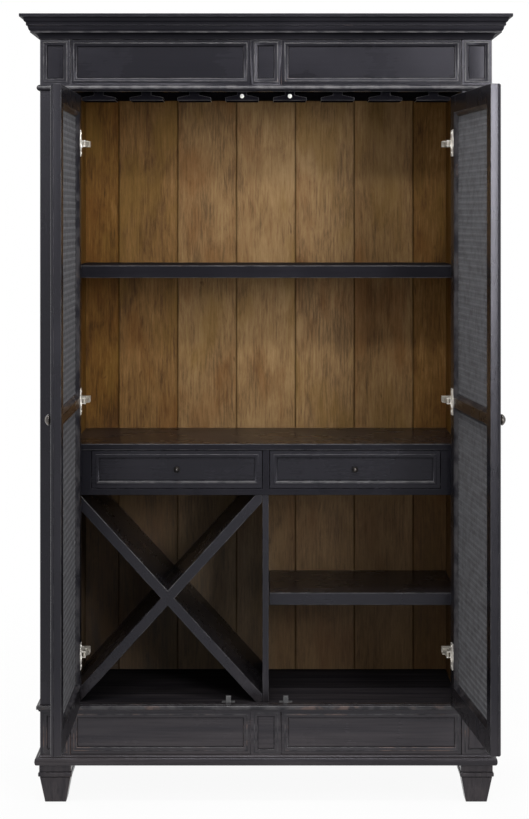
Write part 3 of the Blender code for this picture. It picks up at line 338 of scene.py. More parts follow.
class Finish:
    """A material whose nodes are added one at a time and joined by their sockets."""

    def __init__(self, name):
        self.material = bpy.data.materials.new(name)
        self.material.use_nodes = True
        self.tree = self.material.node_tree
        self.shader = self.tree.nodes["Principled BSDF"]
        self.place = self.add("ShaderNodeTexCoord").outputs["Object"]
        parts = self.add("ShaderNodeSeparateXYZ", {"Vector": self.place})
        self.axes = {axis: parts.outputs[axis] for axis in "XYZ"}

    def put(self, socket, value):
        """Join a socket to another, or set it."""
        if isinstance(value, bpy.types.NodeSocket):
            self.tree.links.new(value, socket)
        else:
            socket.default_value = value

    def add(self, kind, values=None, **settings):
        """Add a node with its settings, and join or set its inputs."""
        node = self.tree.nodes.new(kind)
        for key, value in settings.items():
            setattr(node, key, value)
        for key, value in (values or {}).items():
            self.put(node.inputs[key], value)
        return node

    def stretched(self, scale, vector=None):
        """Return the place with each axis multiplied, so that a pattern runs long along the small ones."""
        values = {"Vector": vector or self.place, "Scale": scale}
        return self.add("ShaderNodeMapping", values).outputs["Vector"]

    def noise(self, vector, scale, detail=3.0, roughness=0.55, distortion=0.0):
        values = {"Vector": vector, "Scale": scale, "Detail": detail}
        values.update({"Roughness": roughness, "Distortion": distortion})
        return self.add("ShaderNodeTexNoise", values).outputs[0]

    def math(self, operation, first, second=0.0):
        return self.add("ShaderNodeMath", {0: first, 1: second}, operation=operation).outputs[0]

    def spread(self, value, low, high, to_low=0.0, to_high=1.0):
        """Carry a value from one range to another, held at both ends."""
        values = {"Value": value, "From Min": low, "From Max": high, "To Min": to_low, "To Max": to_high}
        return self.add("ShaderNodeMapRange", values, interpolation_type="SMOOTHSTEP").outputs[0]

    def mix(self, factor, first, second):
        """Mix two colours."""
        values = {0: factor, 6: opaque(first), 7: opaque(second)}
        return self.add("ShaderNodeMix", values, data_type="RGBA").outputs[2]

    def bump(self, height, strength, distance):
        values = {"Height": height, "Strength": strength, "Distance": distance}
        self.put(self.shader.inputs["Normal"], self.add("ShaderNodeBump", values).outputs["Normal"])

    def seen_directly(self):
        """Return a socket that is 1 for rays from the camera, a reflection or a clear surface."""
        paths = self.add("ShaderNodeLightPath")
        share = self.math("MAXIMUM", paths.outputs["Is Camera Ray"], paths.outputs["Is Glossy Ray"])
        return self.math("MAXIMUM", share, paths.outputs["Is Transmission Ray"])

    def close(self, base, roughness, metallic=0.0, specular=0.5):
        """Set the shader and return the material."""
        self.put(self.shader.inputs["Base Color"], base)
        self.put(self.shader.inputs["Roughness"], roughness)
        self.put(self.shader.inputs["Metallic"], metallic)
        self.put(self.shader.inputs["Specular IOR Level"], specular)
        return self.material


def opaque(value):
    """Return a colour with its alpha, or a socket as it is."""
    return value if isinstance(value, bpy.types.NodeSocket) else (*value, 1.0)


def shaded(tone, shade):
    """Return a colour multiplied by a shade."""
    return tuple(shade * part for part in tone)


def along_grain(axis, across, along):
    """Return how much a pattern is squeezed on each axis so that it runs along one of them."""
    return tuple(along if letter == axis else across for letter in "XYZ")


def kept(name, make):
    """Return a material that was made before, or make it."""
    return bpy.data.materials.get(name) or make(name)


def paint_body(name, axis, specular, roughness):
    """Make brushed black paint with its grain along an axis, thin in patches, and warm and pale near the
    floor from wear and a painted reflection of the floor.
    """
    tones = colours()
    finish = Finish(name)
    grain = finish.noise(finish.stretched(along_grain(axis, 190.0, 5.0)), 1.0, detail=5.0, roughness=0.6)
    brushed = finish.noise(finish.stretched(along_grain(axis, 46.0, 1.6)), 1.0)
    patches = finish.noise(finish.place, 4.5, detail=4.0, roughness=0.6)
    base = finish.mix(finish.spread(patches, 0.42, 0.70, to_high=0.75), tones.paint, tones.paint_pale)
    # Near the floor the paint turns warm and pale: wear, and a painted reflection of the floor
    near_floor = finish.spread(finish.axes["Z"], *WARM_AND_FLOOR_SHEEN_HEIGHTS)
    warm = finish.math("MULTIPLY", near_floor, finish.spread(brushed, 0.30, 0.62, 0.35, 0.95))
    base = finish.mix(warm, base, tones.paint_warm_and_floor_sheen)
    pores = finish.spread(grain, 0.36, 0.55, to_low=0.32, to_high=0.0)
    base = finish.mix(pores, base, shaded(tones.paint, PORE_SHADE))
    uneven = finish.spread(patches, 0.30, 0.70, roughness, roughness + 0.05)
    rough = finish.math("ADD", uneven, finish.math("MULTIPLY", grain, 0.04))
    height = finish.math("ADD", grain, finish.math("MULTIPLY", brushed, 0.6))
    finish.bump(height, strength=0.22, distance=0.0005)
    # The cool sheen tint paints the lamps' cool colour into the paint's reflections
    finish.put(finish.shader.inputs["Specular Tint"], COOL_LAMP_SHEEN_TINT)
    return finish.close(base, rough, specular=specular)


def paint_worn_and_highlight(name):
    """Make paint that is rubbed thin, and in places off, more so near the floor; it also paints highlight
    lines on beads, mouldings and chamfers.
    """
    tones = colours()
    finish = Finish(name)
    rub = finish.noise(finish.place, 11.0, detail=6.0, roughness=0.68)
    thin = finish.spread(finish.noise(finish.place, 37.0, detail=4.0), 0.38, 0.62)
    near_floor = finish.spread(finish.axes["Z"], *BARE_HEIGHTS, to_high=0.15)
    bare = finish.spread(finish.math("ADD", rub, near_floor), 0.64, 0.74)
    base = finish.mix(thin, tones.paint_pale, tones.worn)
    base = finish.mix(bare, base, tones.rubbed)
    finish.bump(rub, strength=0.15, distance=0.0004)
    return finish.close(base, finish.spread(rub, 0.3, 0.7, 0.27, 0.38), specular=0.28)


def painted(axis, finish="satin"):
    """Return the paint for broad faces, with its grain along an axis, and for worn arrises and painted
    highlights.
    """
    name = f"{finish}_black_paint_{axis.lower()}"
    body = kept(name, lambda name: paint_body(name, axis, *PAINT_GLOSS[finish]))
    return [body, kept("black_paint_worn", paint_worn_and_highlight)]


def stained(axis):
    """Return stained boards that lie side by side along an axis and run upwards."""
    return kept(f"stained_boards_{axis.lower()}", lambda name: stain_body(name, axis))


def stain_body(name, axis):
    """Make stained boards, each with its own grain and a seam between them, with painted sheen and light
    on the back panel's middle boards and painted shade that darkens and greys them low down.
    """
    tones = colours()
    finish = Finish(name)
    boards = finish.math("DIVIDE", finish.axes[axis], sizes().board_width)
    board = finish.math("ROUND", boards)
    chance = finish.add("ShaderNodeTexWhiteNoise", {"W": board}, noise_dimensions="1D").outputs["Value"]
    step = finish.math("MULTIPLY", board, BOARD_STEP)
    values = {"X": finish.axes[axis], "Y": step, "Z": finish.axes["Z"]}
    spot = finish.add("ShaderNodeCombineXYZ", values).outputs[0]
    patterns = {}
    for key, (squeeze, *settings) in WOOD_PATTERNS.items():
        patterns[key] = finish.noise(finish.stretched(squeeze, spot), 1.0, *settings)
    tone = finish.math("MULTIPLY", chance, CHANCE_SHARE)
    for key, share in TONE_SHARES:
        tone = finish.math("ADD", tone, finish.math("MULTIPLY", patterns[key], share))
    base = finish.mix(finish.spread(tone, 0.62, 0.82), tones.wood_dark, tones.wood_middle)
    base = finish.mix(finish.spread(tone, 0.78, 1.00), base, tones.wood_pale)
    # Paler tan in the back panel's middle boards is painted sheen and light, set right of centre where the
    # right door shades the boards
    if axis == "X":
        away = finish.math("ABSOLUTE", finish.math("SUBTRACT", board, SHEEN_MIDDLE))
        middle = finish.spread(away, *SHEEN_FADE, to_high=0.75)
        share = finish.math("MULTIPLY", middle, finish.spread(tone, 0.60, 0.95, to_low=0.30))
        base = finish.mix(share, base, tones.wood_painted_sheen)
    for key, low, high, most, tint in WOOD_TINTS:
        share = finish.spread(patterns[key], low, high, to_high=most)
        base = finish.mix(share, base, getattr(tones, tint))
    # Painted shade: the wood darkens and greys towards the floor, more on the left
    grey = finish.spread(finish.axes["X"], *SHADE_GREY_TURN, to_low=SHADE_GREY_RIGHT)
    stain = finish.mix(grey, tones.wood_dark, tones.wood_painted_shade)
    base = finish.mix(finish.spread(finish.axes["Z"], *LOW_SHADE_HEIGHTS, to_high=LOW_SHADE_SHARE), base, stain)
    offset = finish.math("ABSOLUTE", finish.math("SUBTRACT", boards, board))
    seam = finish.spread(offset, *SEAM, to_high=0.55)
    base = finish.mix(seam, base, shaded(tones.wood_dark, SEAM_SHADE))
    height = finish.math("ADD", patterns["streak"], finish.math("MULTIPLY", patterns["fibre"], 0.7))
    finish.bump(height, strength=0.30, distance=0.0006)
    return finish.close(base, finish.spread(patterns["blotch"], 0.3, 0.7, 0.52, 0.42), specular=0.10)


def mottled(name):
    """Return one of the mottled finishes."""
    return kept(name, mottle_body)


def mottle_body(name):
    """Make a finish with soft mottle in its colour and its gloss, and a fine tooth."""
    first, second, roughness, metallic, scale, specular = MOTTLES[name]
    tones = colours()
    finish = Finish(name)
    mottle = finish.noise(finish.place, scale, detail=4.0, roughness=0.6)
    tooth = finish.noise(finish.place, scale * TOOTH_SCALE, detail=2.0)
    base = finish.mix(finish.spread(mottle, 0.40, 0.68), getattr(tones, first), getattr(tones, second))
    finish.bump(tooth, strength=0.12, distance=0.0002)
    rough = finish.spread(mottle, 0.3, 0.7, roughness, roughness + 0.14)
    return finish.close(base, rough, metallic, specular)


# Shapes

def body_of(node):
    return NODES[node]["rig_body"]


def part_shape(node):
    """Return a copy of a part's shape, with its loose triangles joined into whole faces."""
    bm = bmesh.new()
    bm.from_mesh(NODES[node].data)
    bmesh.ops.remove_doubles(bm, verts=bm.verts, dist=ON_LINE)
    bmesh.ops.dissolve_limit(bm, angle_limit=math.radians(1.0), verts=bm.verts, edges=bm.edges)
    for face in bm.faces:
        face.material_index = PAINT_SLOT
    bm.normal_update()
    return bm


def shape_box(bm):
    """Return the lowest and highest corner of a shape."""
    spots = [vert.co for vert in bm.verts]
    return (Vector([min(spot[axis] for spot in spots) for axis in range(3)]),
            Vector([max(spot[axis] for spot in spots) for axis in range(3)]))


def part_box(node, place):
    """Return the lowest and highest corner of a part in a space of its own."""
    bm = part_shape(node)
    bmesh.ops.transform(bm, matrix=place.inverted(), verts=bm.verts)
    box = shape_box(bm)
    bm.free()
    return box


def unique(items):
    """Return items in their order, each of them once."""
    return list(dict.fromkeys(items))


def only(kind, items):
    """Return the items of one kind."""
    return [item for item in items if isinstance(item, kind)]


def cut(bm, spot, normal, **settings):
    """Cut all of a shape's faces along a plane."""
    geometry = bm.verts[:] + bm.edges[:] + bm.faces[:]
    bmesh.ops.bisect_plane(bm, geom=geometry, plane_co=spot, plane_no=normal, **settings)


def inset(bm, faces, thickness, depth=0.0):
    """Inset a region of faces and return the faces that this makes."""
    made = bmesh.ops.inset_region(
        bm, faces=faces, thickness=thickness, depth=depth, use_boundary=True, use_even_offset=True)
    return made["faces"]


def bevel(bm, edges, width, segments):
    """Bevel edges and return the faces that this makes."""
    made = bmesh.ops.bevel(
        bm, geom=edges, offset=width, offset_type="OFFSET", segments=segments, profile=0.5,
        affect="EDGES", material=-1, clamp_overlap=False)
    return made["faces"]


def ease(bm, width, worn=True):
    """Take the sharpness off the arrises between wide faces; the new faces may be worn."""
    bm.normal_update()
    chosen = []
    for edge in bm.edges:
        if len(edge.link_faces) != 2 or not edge.is_convex or edge.calc_face_angle() < SHARP:
            continue
        run = edge.calc_length()
        least = min(face.calc_area() for face in edge.link_faces)
        if run >= EASED_LENGTH * width and least >= EASED_WIDTH * width * run:
            chosen.append(edge)
    for face in bevel(bm, chosen, width, ARRIS_STEPS):
        face.material_index = WORN_AND_HIGHLIGHT_SLOT if worn else PAINT_SLOT


def add_beads(bm, worn):
    """Spread the slopes round each recessed field over the face and raise a bead on them.

    The beads take the worn paint all round but underneath, as wear and a painted highlight, or else only
    the one at the foot, with its slope, as a painted highlight.
    """
    limit = LOOKS_DOWN if worn else LOOKS_UP
    rise = sizes().bead_rise
    fields = [face for face in bm.faces
              if face.normal.y < FIELD_FRONT and not any(edge.is_convex for edge in face.edges)]
    for field in fields:
        slopes = unique(face for edge in field.edges for face in edge.link_faces if face is not field)
        middle = field.calc_center_median()
        outer = unique(vert for face in slopes for vert in face.verts if vert not in set(field.verts))
        for vert in outer:
            for axis in (0, 2):
                vert.co[axis] += math.copysign(sizes().bead_spread, vert.co[axis] - middle[axis])
        bm.normal_update()
        inset(bm, slopes, sizes().bead_margin, rise)
        rims = unique(edge for face in slopes for edge in face.edges
                      if sum(other in slopes for other in edge.link_faces) == 1)
        # Bead faces that look up, and with wear those that look sideways, take the lighter worn paint:
        # wear and a painted highlight
        if not worn:
            for face in slopes:
                face.material_index = int(face.normal.z > limit)
        for face in bevel(bm, rims, rise * BEAD_ROUND, ARRIS_STEPS):
            face.material_index = int(face.normal.z > limit)
        border = inset(bm, [field], sizes().field_groove)
        inset(bm, border, 0.0, -sizes().field_groove)


def cut_groove(bm, low, high):
    """Sink a groove round a piece between two heights."""
    for height in (low, high):
        cut(bm, (0.0, 0.0, height), (0.0, 0.0, 1.0))
    ring = [face for face in bm.faces
            if low < face.calc_center_median().z < high and abs(face.normal.z) < WALL]
    for face in ring:
        face.material_index = PAINT_SLOT
    inset(bm, ring, 0.0, -sizes().groove_depth)


def mould_door_edge(bm):
    """Cut a quirk round a door's free edges and round the arrises in front of it."""
    low, high = shape_box(bm)
    far = low.x if abs(low.x) > abs(high.x) else high.x
    middle = (low + high) / 2
    place = sizes().quirk_place
    for y in (place - sizes().quirk_width, place, place + sizes().quirk_width):
        cut(bm, (0, y, 0), (0, 1, 0), dist=SAME)

    def on_rims(spot):
        return [abs(gap) < ON_RIM for gap in (spot.x - far, spot.z - low.z, spot.z - high.z)]

    for vert in bm.verts:
        if abs(vert.co.y - place) < ON_LINE:
            side, foot, head = on_rims(vert.co)
            if side:
                vert.co.x += math.copysign(sizes().quirk_depth, middle.x - far)
            if foot or head:
                vert.co.z += math.copysign(sizes().quirk_depth, middle.z - vert.co.z)
    arrises = []
    for edge in bm.edges:
        first, second = (vert.co for vert in edge.verts)
        shared = any(a and b for a, b in zip(on_rims(first), on_rims(second)))
        if first.y < ON_RIM and second.y < ON_RIM and shared:
            arrises.append(edge)
    bevel(bm, arrises, sizes().door_round, ROUND_STEPS)


def finish_piece(name, bm, body, materials, nodes):
    """Put a shape into the scene as a piece that rides on a body and stands for some parts."""
    mesh = bpy.data.meshes.new(name)
    bm.to_mesh(mesh)
    bm.free()
    for material in materials:
        mesh.materials.append(material)
    mesh.shade_smooth()
    mesh.set_sharp_from_angle(angle=SHARP)
    thing = bpy.data.objects.new(name, mesh)
    bpy.context.scene.collection.objects.link(thing)
    flatten = thing.modifiers.new("broad faces stay flat", "WEIGHTED_NORMAL")
    flatten.mode = "FACE_AREA"
    flatten.keep_sharp = True
    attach(thing, body)
    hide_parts(*nodes)


def dress_painted(node, axis, width, finish="satin", beads=False, worn=True, grooves=(), head=None,
                  rubbed=()):
    """Replace a painted part by a copy with eased arrises, which may be worn.

    Between rubbed heights its faces take the worn paint as a painted highlight line, and above head its
    paint is satin.
    """
    bm = part_shape(node)
    if beads:
        add_beads(bm, worn)
    ease(bm, width, worn)
    for low, high in grooves:
        cut_groove(bm, low, high)
    # Faces between these heights take the lighter worn paint as a painted highlight line
    for low, high in rubbed:
        for face in bm.faces:
            if low < face.calc_center_median().z < high and face.normal.z > LINE_DOWN:
                face.material_index = WORN_AND_HIGHLIGHT_SLOT
    paints = painted(axis, finish)
    if head:
        paints = paints + painted(axis)[:1]
        for face in bm.faces:
            if face.material_index == PAINT_SLOT and face.calc_center_median().z > head:
                face.material_index = HEAD_SLOT
    finish_piece(f"{node}_painted", bm, body_of(node), paints, [node])


def door_place(word):
    """Return where a door's own space lies: x runs along the door, y from its outer face inwards."""
    x, y, _ = JOINTS[f"{word}_door_swing"]["pos_m"]
    opened = getattr(sizes(), f"{word}_door_angle")
    return Matrix.Translation((x, y, 0.0)) @ Matrix.Rotation(SIDES[word] * opened, 4, "Z")


def turned(outline, low, high):
    """Turn an outline about an axis that leaves the rear of a box towards -Y, and fill the box."""
    radius = (high.z - low.z) / 2
    reach = high.y - low.y
    foot = ((low.x + high.x) / 2, high.y, (low.z + high.z) / 2)
    bm = bmesh.new()
    points = [bm.verts.new((radius * across, -reach * along, 0.0)) for across, along in outline]
    edges = [bm.edges.new(pair) for pair in zip(points, points[1:])]
    bmesh.ops.spin(bm, geom=points + edges, cent=(0, 0, 0), axis=(0, 1, 0), angle=2 * math.pi,
                   steps=TURN_STEPS, use_merge=True)
    bmesh.ops.remove_doubles(bm, verts=bm.verts, dist=SAME)
    bmesh.ops.recalc_face_normals(bm, faces=bm.faces)
    bmesh.ops.translate(bm, vec=foot, verts=bm.verts)
    return bm


def drawn(bm, edges):
    """Extrude edges and return the new edges and the new verts, which still lie on the old ones."""
    made = bmesh.ops.extrude_edge_only(bm, edges=edges)["geom"]
    return only(bmesh.types.BMEdge, made), only(bmesh.types.BMVert, made)


def screw_head(radius, height):
    """Return a round screw head with a cross slot, which stands on the plane z = 0."""
    bm = bmesh.new()
    ring = bmesh.ops.create_circle(bm, segments=SCREW_SIDES, radius=radius)["verts"]
    rim = unique(edge for vert in ring for edge in vert.link_edges)
    for rise, shrink in SCREW_RINGS:
        rim, verts = drawn(bm, rim)
        bmesh.ops.translate(bm, vec=(0, 0, rise * height), verts=verts)
        bmesh.ops.scale(bm, vec=(shrink, shrink, 1.0), verts=verts)
    wide = SLOT_REACH * radius
    thin = SLOT_WIDTH * radius
    corners = ((thin, wide), (thin, thin), (wide, thin), (wide, -thin), (thin, -thin), (thin, -wide))
    cross = [bm.verts.new((x, y, height)) for x, y in corners]
    cross += [bm.verts.new((-x, -y, height)) for x, y in corners]
    slot = [bm.edges.new(pair) for pair in zip(cross, cross[1:] + cross[:1])]
    bmesh.ops.bridge_loops(bm, edges=rim + slot)
    floor = drawn(bm, slot)[1]
    bmesh.ops.translate(bm, vec=(0, 0, -SLOT_DEPTH * height), verts=floor)
    bmesh.ops.holes_fill(bm, edges=bm.edges, sides=0)
    bmesh.ops.recalc_face_normals(bm, faces=bm.faces)
    return bm


def join(bm, other, place):
    """Add another shape at a place, and use it up."""
    bmesh.ops.transform(other, matrix=place, verts=other.verts)
    mesh = bpy.data.meshes.new("shape")
    other.to_mesh(mesh)
    other.free()
    bm.from_mesh(mesh)
    bpy.data.meshes.remove(mesh)


def copied(bm, geom, shift):
    """Copy some geometry to another place and return the copy."""
    made = bmesh.ops.duplicate(bm, geom=geom)["geom"]
    bmesh.ops.translate(bm, vec=shift, verts=only(bmesh.types.BMVert, made))
    return made


def repeat(bm, geom, count, step):
    """Set copies of some geometry in a row, by doubling the row and then adding what is left."""
    rows = [(1, geom)]
    while 2 * rows[-1][0] <= count:
        number, row = rows[-1]
        rows.append((2 * number, row + copied(bm, row, step * number)))
    done = rows.pop()[0]
    for number, row in reversed(rows):
        if done + number <= count:
            copied(bm, row, step * done)
            done += number


def counts(bm):
    return len(bm.verts), len(bm.edges), len(bm.faces)


def new_geometry(bm, before):
    """Return what was added to a shape since it had some number of verts, edges and faces."""
    rows = (list(bm.verts), list(bm.edges), list(bm.faces))
    return [item for row, count in zip(rows, before) for item in row[count:]]


def cross_strip(bm, start, across, columns, row):
    """Draw one strip out across the uprights, in front of one and behind the next, and return it."""
    before = counts(bm)
    thick = sizes().strip_thickness / 2
    bulge = (sizes().wire_radius + thick) * (1 - 2 * row)
    flat = Matrix.Diagonal((sizes().strip_height / 2, thick, 1.0, 1.0))
    place = Matrix.Translation(start) @ Matrix.Rotation(math.pi / 2, 4, "Y") @ flat
    made = bmesh.ops.create_circle(bm, segments=STRIP_SIDES, radius=1.0, cap_ends=False, matrix=place)
    edges = unique(edge for vert in made["verts"] for edge in vert.link_edges)
    sway = 0.0
    for step in range(1, 2 * columns + 1):
        aim = bulge * math.sin(math.pi * step / 2)
        edges, verts = drawn(bm, edges)
        bmesh.ops.translate(bm, vec=across / 2 + Vector((0.0, aim - sway, 0.0)), verts=verts)
        sway = aim
    rims = only(bmesh.types.BMEdge, new_geometry(bm, before))
    bmesh.ops.holes_fill(bm, edges=[edge for edge in rims if edge.is_boundary], sides=STRIP_SIDES)
    strip = new_geometry(bm, before)
    for face in only(bmesh.types.BMFace, strip):
        face.material_index = 1
    return strip


def woven(low, high):
    """Return woven metal between two corners: upright wires, and flat strips that pass round them."""
    size = high - low
    columns = round(size.x / sizes().upright_pitch)
    rows = round(size.z / sizes().cross_pitch)
    radius = sizes().wire_radius
    across = Vector((size.x / columns, 0.0, 0.0))
    rise = Vector((0.0, 0.0, size.z / rows))
    middle = (low.y + high.y) / 2
    corner = Vector((low.x, middle, low.z))
    bm = bmesh.new()
    strips = [cross_strip(bm, corner + rise * (row + 0.5), across, columns, row) for row in (0, 1)]
    before = counts(bm)
    place = Matrix.Translation(Vector((low.x, middle, (low.z + high.z) / 2)) + across / 2)
    bmesh.ops.create_cone(bm, cap_ends=True, segments=WIRE_SIDES, radius1=radius, radius2=radius,
                          depth=size.z, matrix=place)
    upright = new_geometry(bm, before)
    bmesh.ops.recalc_face_normals(bm, faces=bm.faces)
    repeat(bm, upright, columns, across)
    for row, strip in enumerate(strips):
        repeat(bm, strip, (rows + 1 - row) // 2, rise * 2)
    return bm


# Operators

class CABINET_OT_posts(bpy.types.Operator):
    """Ease the front posts and run beads round the fields in their blocks"""
    bl_idname = "cabinet.posts"
    bl_label = "Front Posts"

    def execute(self, context):
        for word in SIDES:
            dress_painted(f"{word}_front_post", "Z", sizes().arris, "bright", beads=True, head=HEAD)
        return {"FINISHED"}


class CABINET_OT_case(bpy.types.Operator):
    """Paint the outer sides, and stain the inner sides and the back panel"""
    bl_idname = "cabinet.case"
    bl_label = "Sides and Back"

    def execute(self, context):
        for word in SIDES:
            dress_painted(f"{word}_outer_side", "Z", sizes().arris)
            NODES[f"{word}_inner_side"].material_slots[0].material = stained("Y")
        NODES["back_panel"].material_slots[0].material = stained("X")
        return {"FINISHED"}


class CABINET_OT_mouldings(bpy.types.Operator):
    """Ease the crown, the two rails with their beads, and the base moulding"""
    bl_idname = "cabinet.mouldings"
    bl_label = "Crown, Rails and Base"

    def execute(self, context):
        # The crown's fillets, the frieze's bead and the base's cap get painted highlight lines
        dress_painted("crown", "X", sizes().fine_arris, "soft", rubbed=CROWN_HIGHLIGHT_LINES)
        dress_painted("frieze_rail", "X", sizes().arris, beads=True, rubbed=BEAD_HIGHLIGHT_LINE)
        dress_painted("base_rail", "X", sizes().arris, "bright", beads=True, rubbed=CAP_HIGHLIGHT_LINE)
        dress_painted("base_moulding", "X", sizes().arris, "rubbed")
        return {"FINISHED"}


class CABINET_OT_feet(bpy.types.Operator):
    """Ease the four tapered feet and run grooves round them"""
    bl_idname = "cabinet.feet"
    bl_label = "Feet"

    def execute(self, context):
        for row in ("front", "rear"):
            for word in SIDES:
                dress_painted(f"{row}_{word}_foot", "Z", sizes().arris, "rubbed", grooves=FOOT_GROOVES)
        return {"FINISHED"}


class CABINET_OT_boards(bpy.types.Operator):
    """Ease the floor, decks, partition, bottle rack, shelves and stemware rack"""
    bl_idname = "cabinet.boards"
    bl_label = "Boards and Racks"

    def execute(self, context):
        dress_painted("mid_deck", "X", sizes().board_arris)
        dress_painted("drawer_runner_panel", "X", sizes().board_arris)
        dress_painted("upper_shelf", "X", sizes().board_arris, "flat")
        dress_painted("floor_panel", "X", sizes().board_arris, "matt")
        dress_painted("lower_shelf", "X", sizes().board_arris, "bright")
        dress_painted("lower_partition", "Z", sizes().arris, "bright")
        dress_painted("bottle_rack", "Y", sizes().board_arris, "bright")
        dress_painted("stemware_rack", "Y", sizes().arris, "matt")
        return {"FINISHED"}


class CABINET_OT_bumpers(bpy.types.Operator):
    """Turn the two white bumpers that the doors shut against"""
    bl_idname = "cabinet.bumpers"
    bl_label = "Door Bumpers"

    def execute(self, context):
        for word in SIDES:
            node = f"{word}_door_bumper"
            bm = turned(BUMPER_OUTLINE, *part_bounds(node))
            nylon = [mottled("bumper_nylon")]
            finish_piece(f"{node}_nylon", bm, body_of(node), nylon, [node])
        return {"FINISHED"}


class CABINET_OT_catches(bpy.types.Operator):
    """Ease the two grey catches on the floor panel"""
    bl_idname = "cabinet.catches"
    bl_label = "Floor Catches"

    def execute(self, context):
        for word in SIDES:
            node = f"{word}_floor_catch"
            bm = part_shape(node)
            ease(bm, sizes().catch_arris, worn=False)
            plastic = [mottled("catch_plastic")]
            finish_piece(f"{node}_plastic", bm, body_of(node), plastic, [node])
        return {"FINISHED"}


class CABINET_OT_drawers(bpy.types.Operator):
    """Ease the face frame, and the drawers with a bead round each front"""
    bl_idname = "cabinet.drawers"
    bl_label = "Drawers"

    def execute(self, context):
        fine = sizes().fine_arris
        dress_painted("drawer_face_frame", "X", fine, worn=False)
        for word in SIDES:
            # Only the foot of each front's bead takes the worn paint, as a painted highlight
            dress_painted(f"{word}_drawer_front", "X", fine, "rubbed", beads=True, worn=False)
            dress_painted(f"{word}_drawer_box", "Y", sizes().arris)
        return {"FINISHED"}


class CABINET_OT_door_frames(bpy.types.Operator):
    """Round and quirk the doors' outer edges, ease the rest, and give the chamfers beside the mesh the
    worn paint as a painted highlight
    """
    bl_idname = "cabinet.door_frames"
    bl_label = "Door Frames"

    def execute(self, context):
        least, most = CHAMFER_BACK
        for word in SIDES:
            node = f"{word}_door_frame"
            place = door_place(word)
            bm = part_shape(node)
            bmesh.ops.transform(bm, matrix=place.inverted(), verts=bm.verts)
            mould_door_edge(bm)
            ease(bm, sizes().arris)
            # The lighter worn paint on the chamfers beside the mesh is a painted highlight
            for face in bm.faces:
                if least < face.normal.y < most and face.calc_area() > CHAMFER_AREA:
                    face.material_index = WORN_AND_HIGHLIGHT_SLOT
            bmesh.ops.transform(bm, matrix=place, verts=bm.verts)
            paints = painted("Z", "bright")
            finish_piece(f"{node}_painted", bm, body_of(node), paints, [node])
        return {"FINISHED"}


class CABINET_OT_mesh_panels(bpy.types.Operator):
    """Weave the wire in the doors' panels"""
    bl_idname = "cabinet.mesh_panels"
    bl_label = "Mesh Panels"

    def execute(self, context):
        # The strips' paler metal carries painted light
        metals = [mottled("mesh_wire"), mottled("mesh_strip")]
        for word in SIDES:
            place = door_place(word)
            for level in ("upper", "lower"):
                node = f"{word}_{level}_mesh"
                bm = woven(*part_box(node, place))
                bmesh.ops.transform(bm, matrix=place, verts=bm.verts)
                finish_piece(f"{node}_woven", bm, body_of(node), metals, [node])
        return {"FINISHED"}


class CABINET_OT_knobs(bpy.types.Operator):
    """Turn the knobs of the doors and the drawers"""
    bl_idname = "cabinet.knobs"
    bl_label = "Knobs"

    def execute(self, context):
        for word in SIDES:
            self.turn(f"{word}_door_knob", door_place(word))
            self.turn(f"{word}_drawer_knob", Matrix.Identity(4))
        return {"FINISHED"}

    def turn(self, node, place):
        bm = turned(KNOB_OUTLINE, *part_box(node, place))
        bmesh.ops.transform(bm, matrix=place, verts=bm.verts)
        bronze = [mottled("knob_bronze")]
        finish_piece(f"{node}_bronze", bm, body_of(node), bronze, [node])


class CABINET_OT_hinges(bpy.types.Operator):
    """Ease the hinges' cups, links and arms, and drive their screws"""
    bl_idname = "cabinet.hinges"
    bl_label = "Hinges"

    def execute(self, context):
        for word in SIDES:
            for level in LEVELS:
                hinge = f"{word}_{level}_hinge"
                self.dress(f"{hinge}_link", [], "hinge_steel")
                self.dress(f"{hinge}_cup", self.cup_screws(word, f"{hinge}_cup"), "hinge_nickel")
                self.dress(f"{hinge}_arm", self.arm_screws(word, f"{hinge}_arm"), "hinge_steel")
        return {"FINISHED"}

    def cup_screws(self, word, node):
        """Return where the screws sit in a cup's two wings."""
        place = door_place(word)
        cup = part_shape(node)
        bmesh.ops.transform(cup, matrix=place.inverted(), verts=cup.verts)
        low, high = shape_box(cup)
        wings = [vert.co for vert in cup.verts if vert.co.z > high.z - sizes().wing_tip]
        x = sum(spot.x for spot in wings) / len(wings)
        y = max(spot.y for spot in wings)
        cup.free()
        lift = Matrix.Rotation(-math.pi / 2, 4, "X")
        heights = (low.z + sizes().cup_screw, high.z - sizes().cup_screw)
        return [place @ Matrix.Translation((x, y, z)) @ lift for z in heights]

    def arm_screws(self, word, node):
        """Return where the screws sit in an arm's foot, on the case's side."""
        low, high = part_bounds(node)
        side = SIDES[word]
        inset_by = sizes().arm_screw
        face = (high.x if side > 0 else low.x) - side * sizes().arm_foot
        turn = Matrix.Rotation(-side * math.pi / 2, 4, "Y")
        middle = (low.z + high.z) / 2
        heights = (middle + inset_by, middle - inset_by)
        return [Matrix.Translation((face, high.y - inset_by, z)) @ turn for z in heights]

    def dress(self, node, screws, metal):
        bm = part_shape(node)
        ease(bm, sizes().metal_arris, worn=False)
        for place in screws:
            join(bm, screw_head(sizes().screw_radius, sizes().screw_height), place)
        finish_piece(f"{node}_plated", bm, body_of(node), [mottled(metal)], [node])


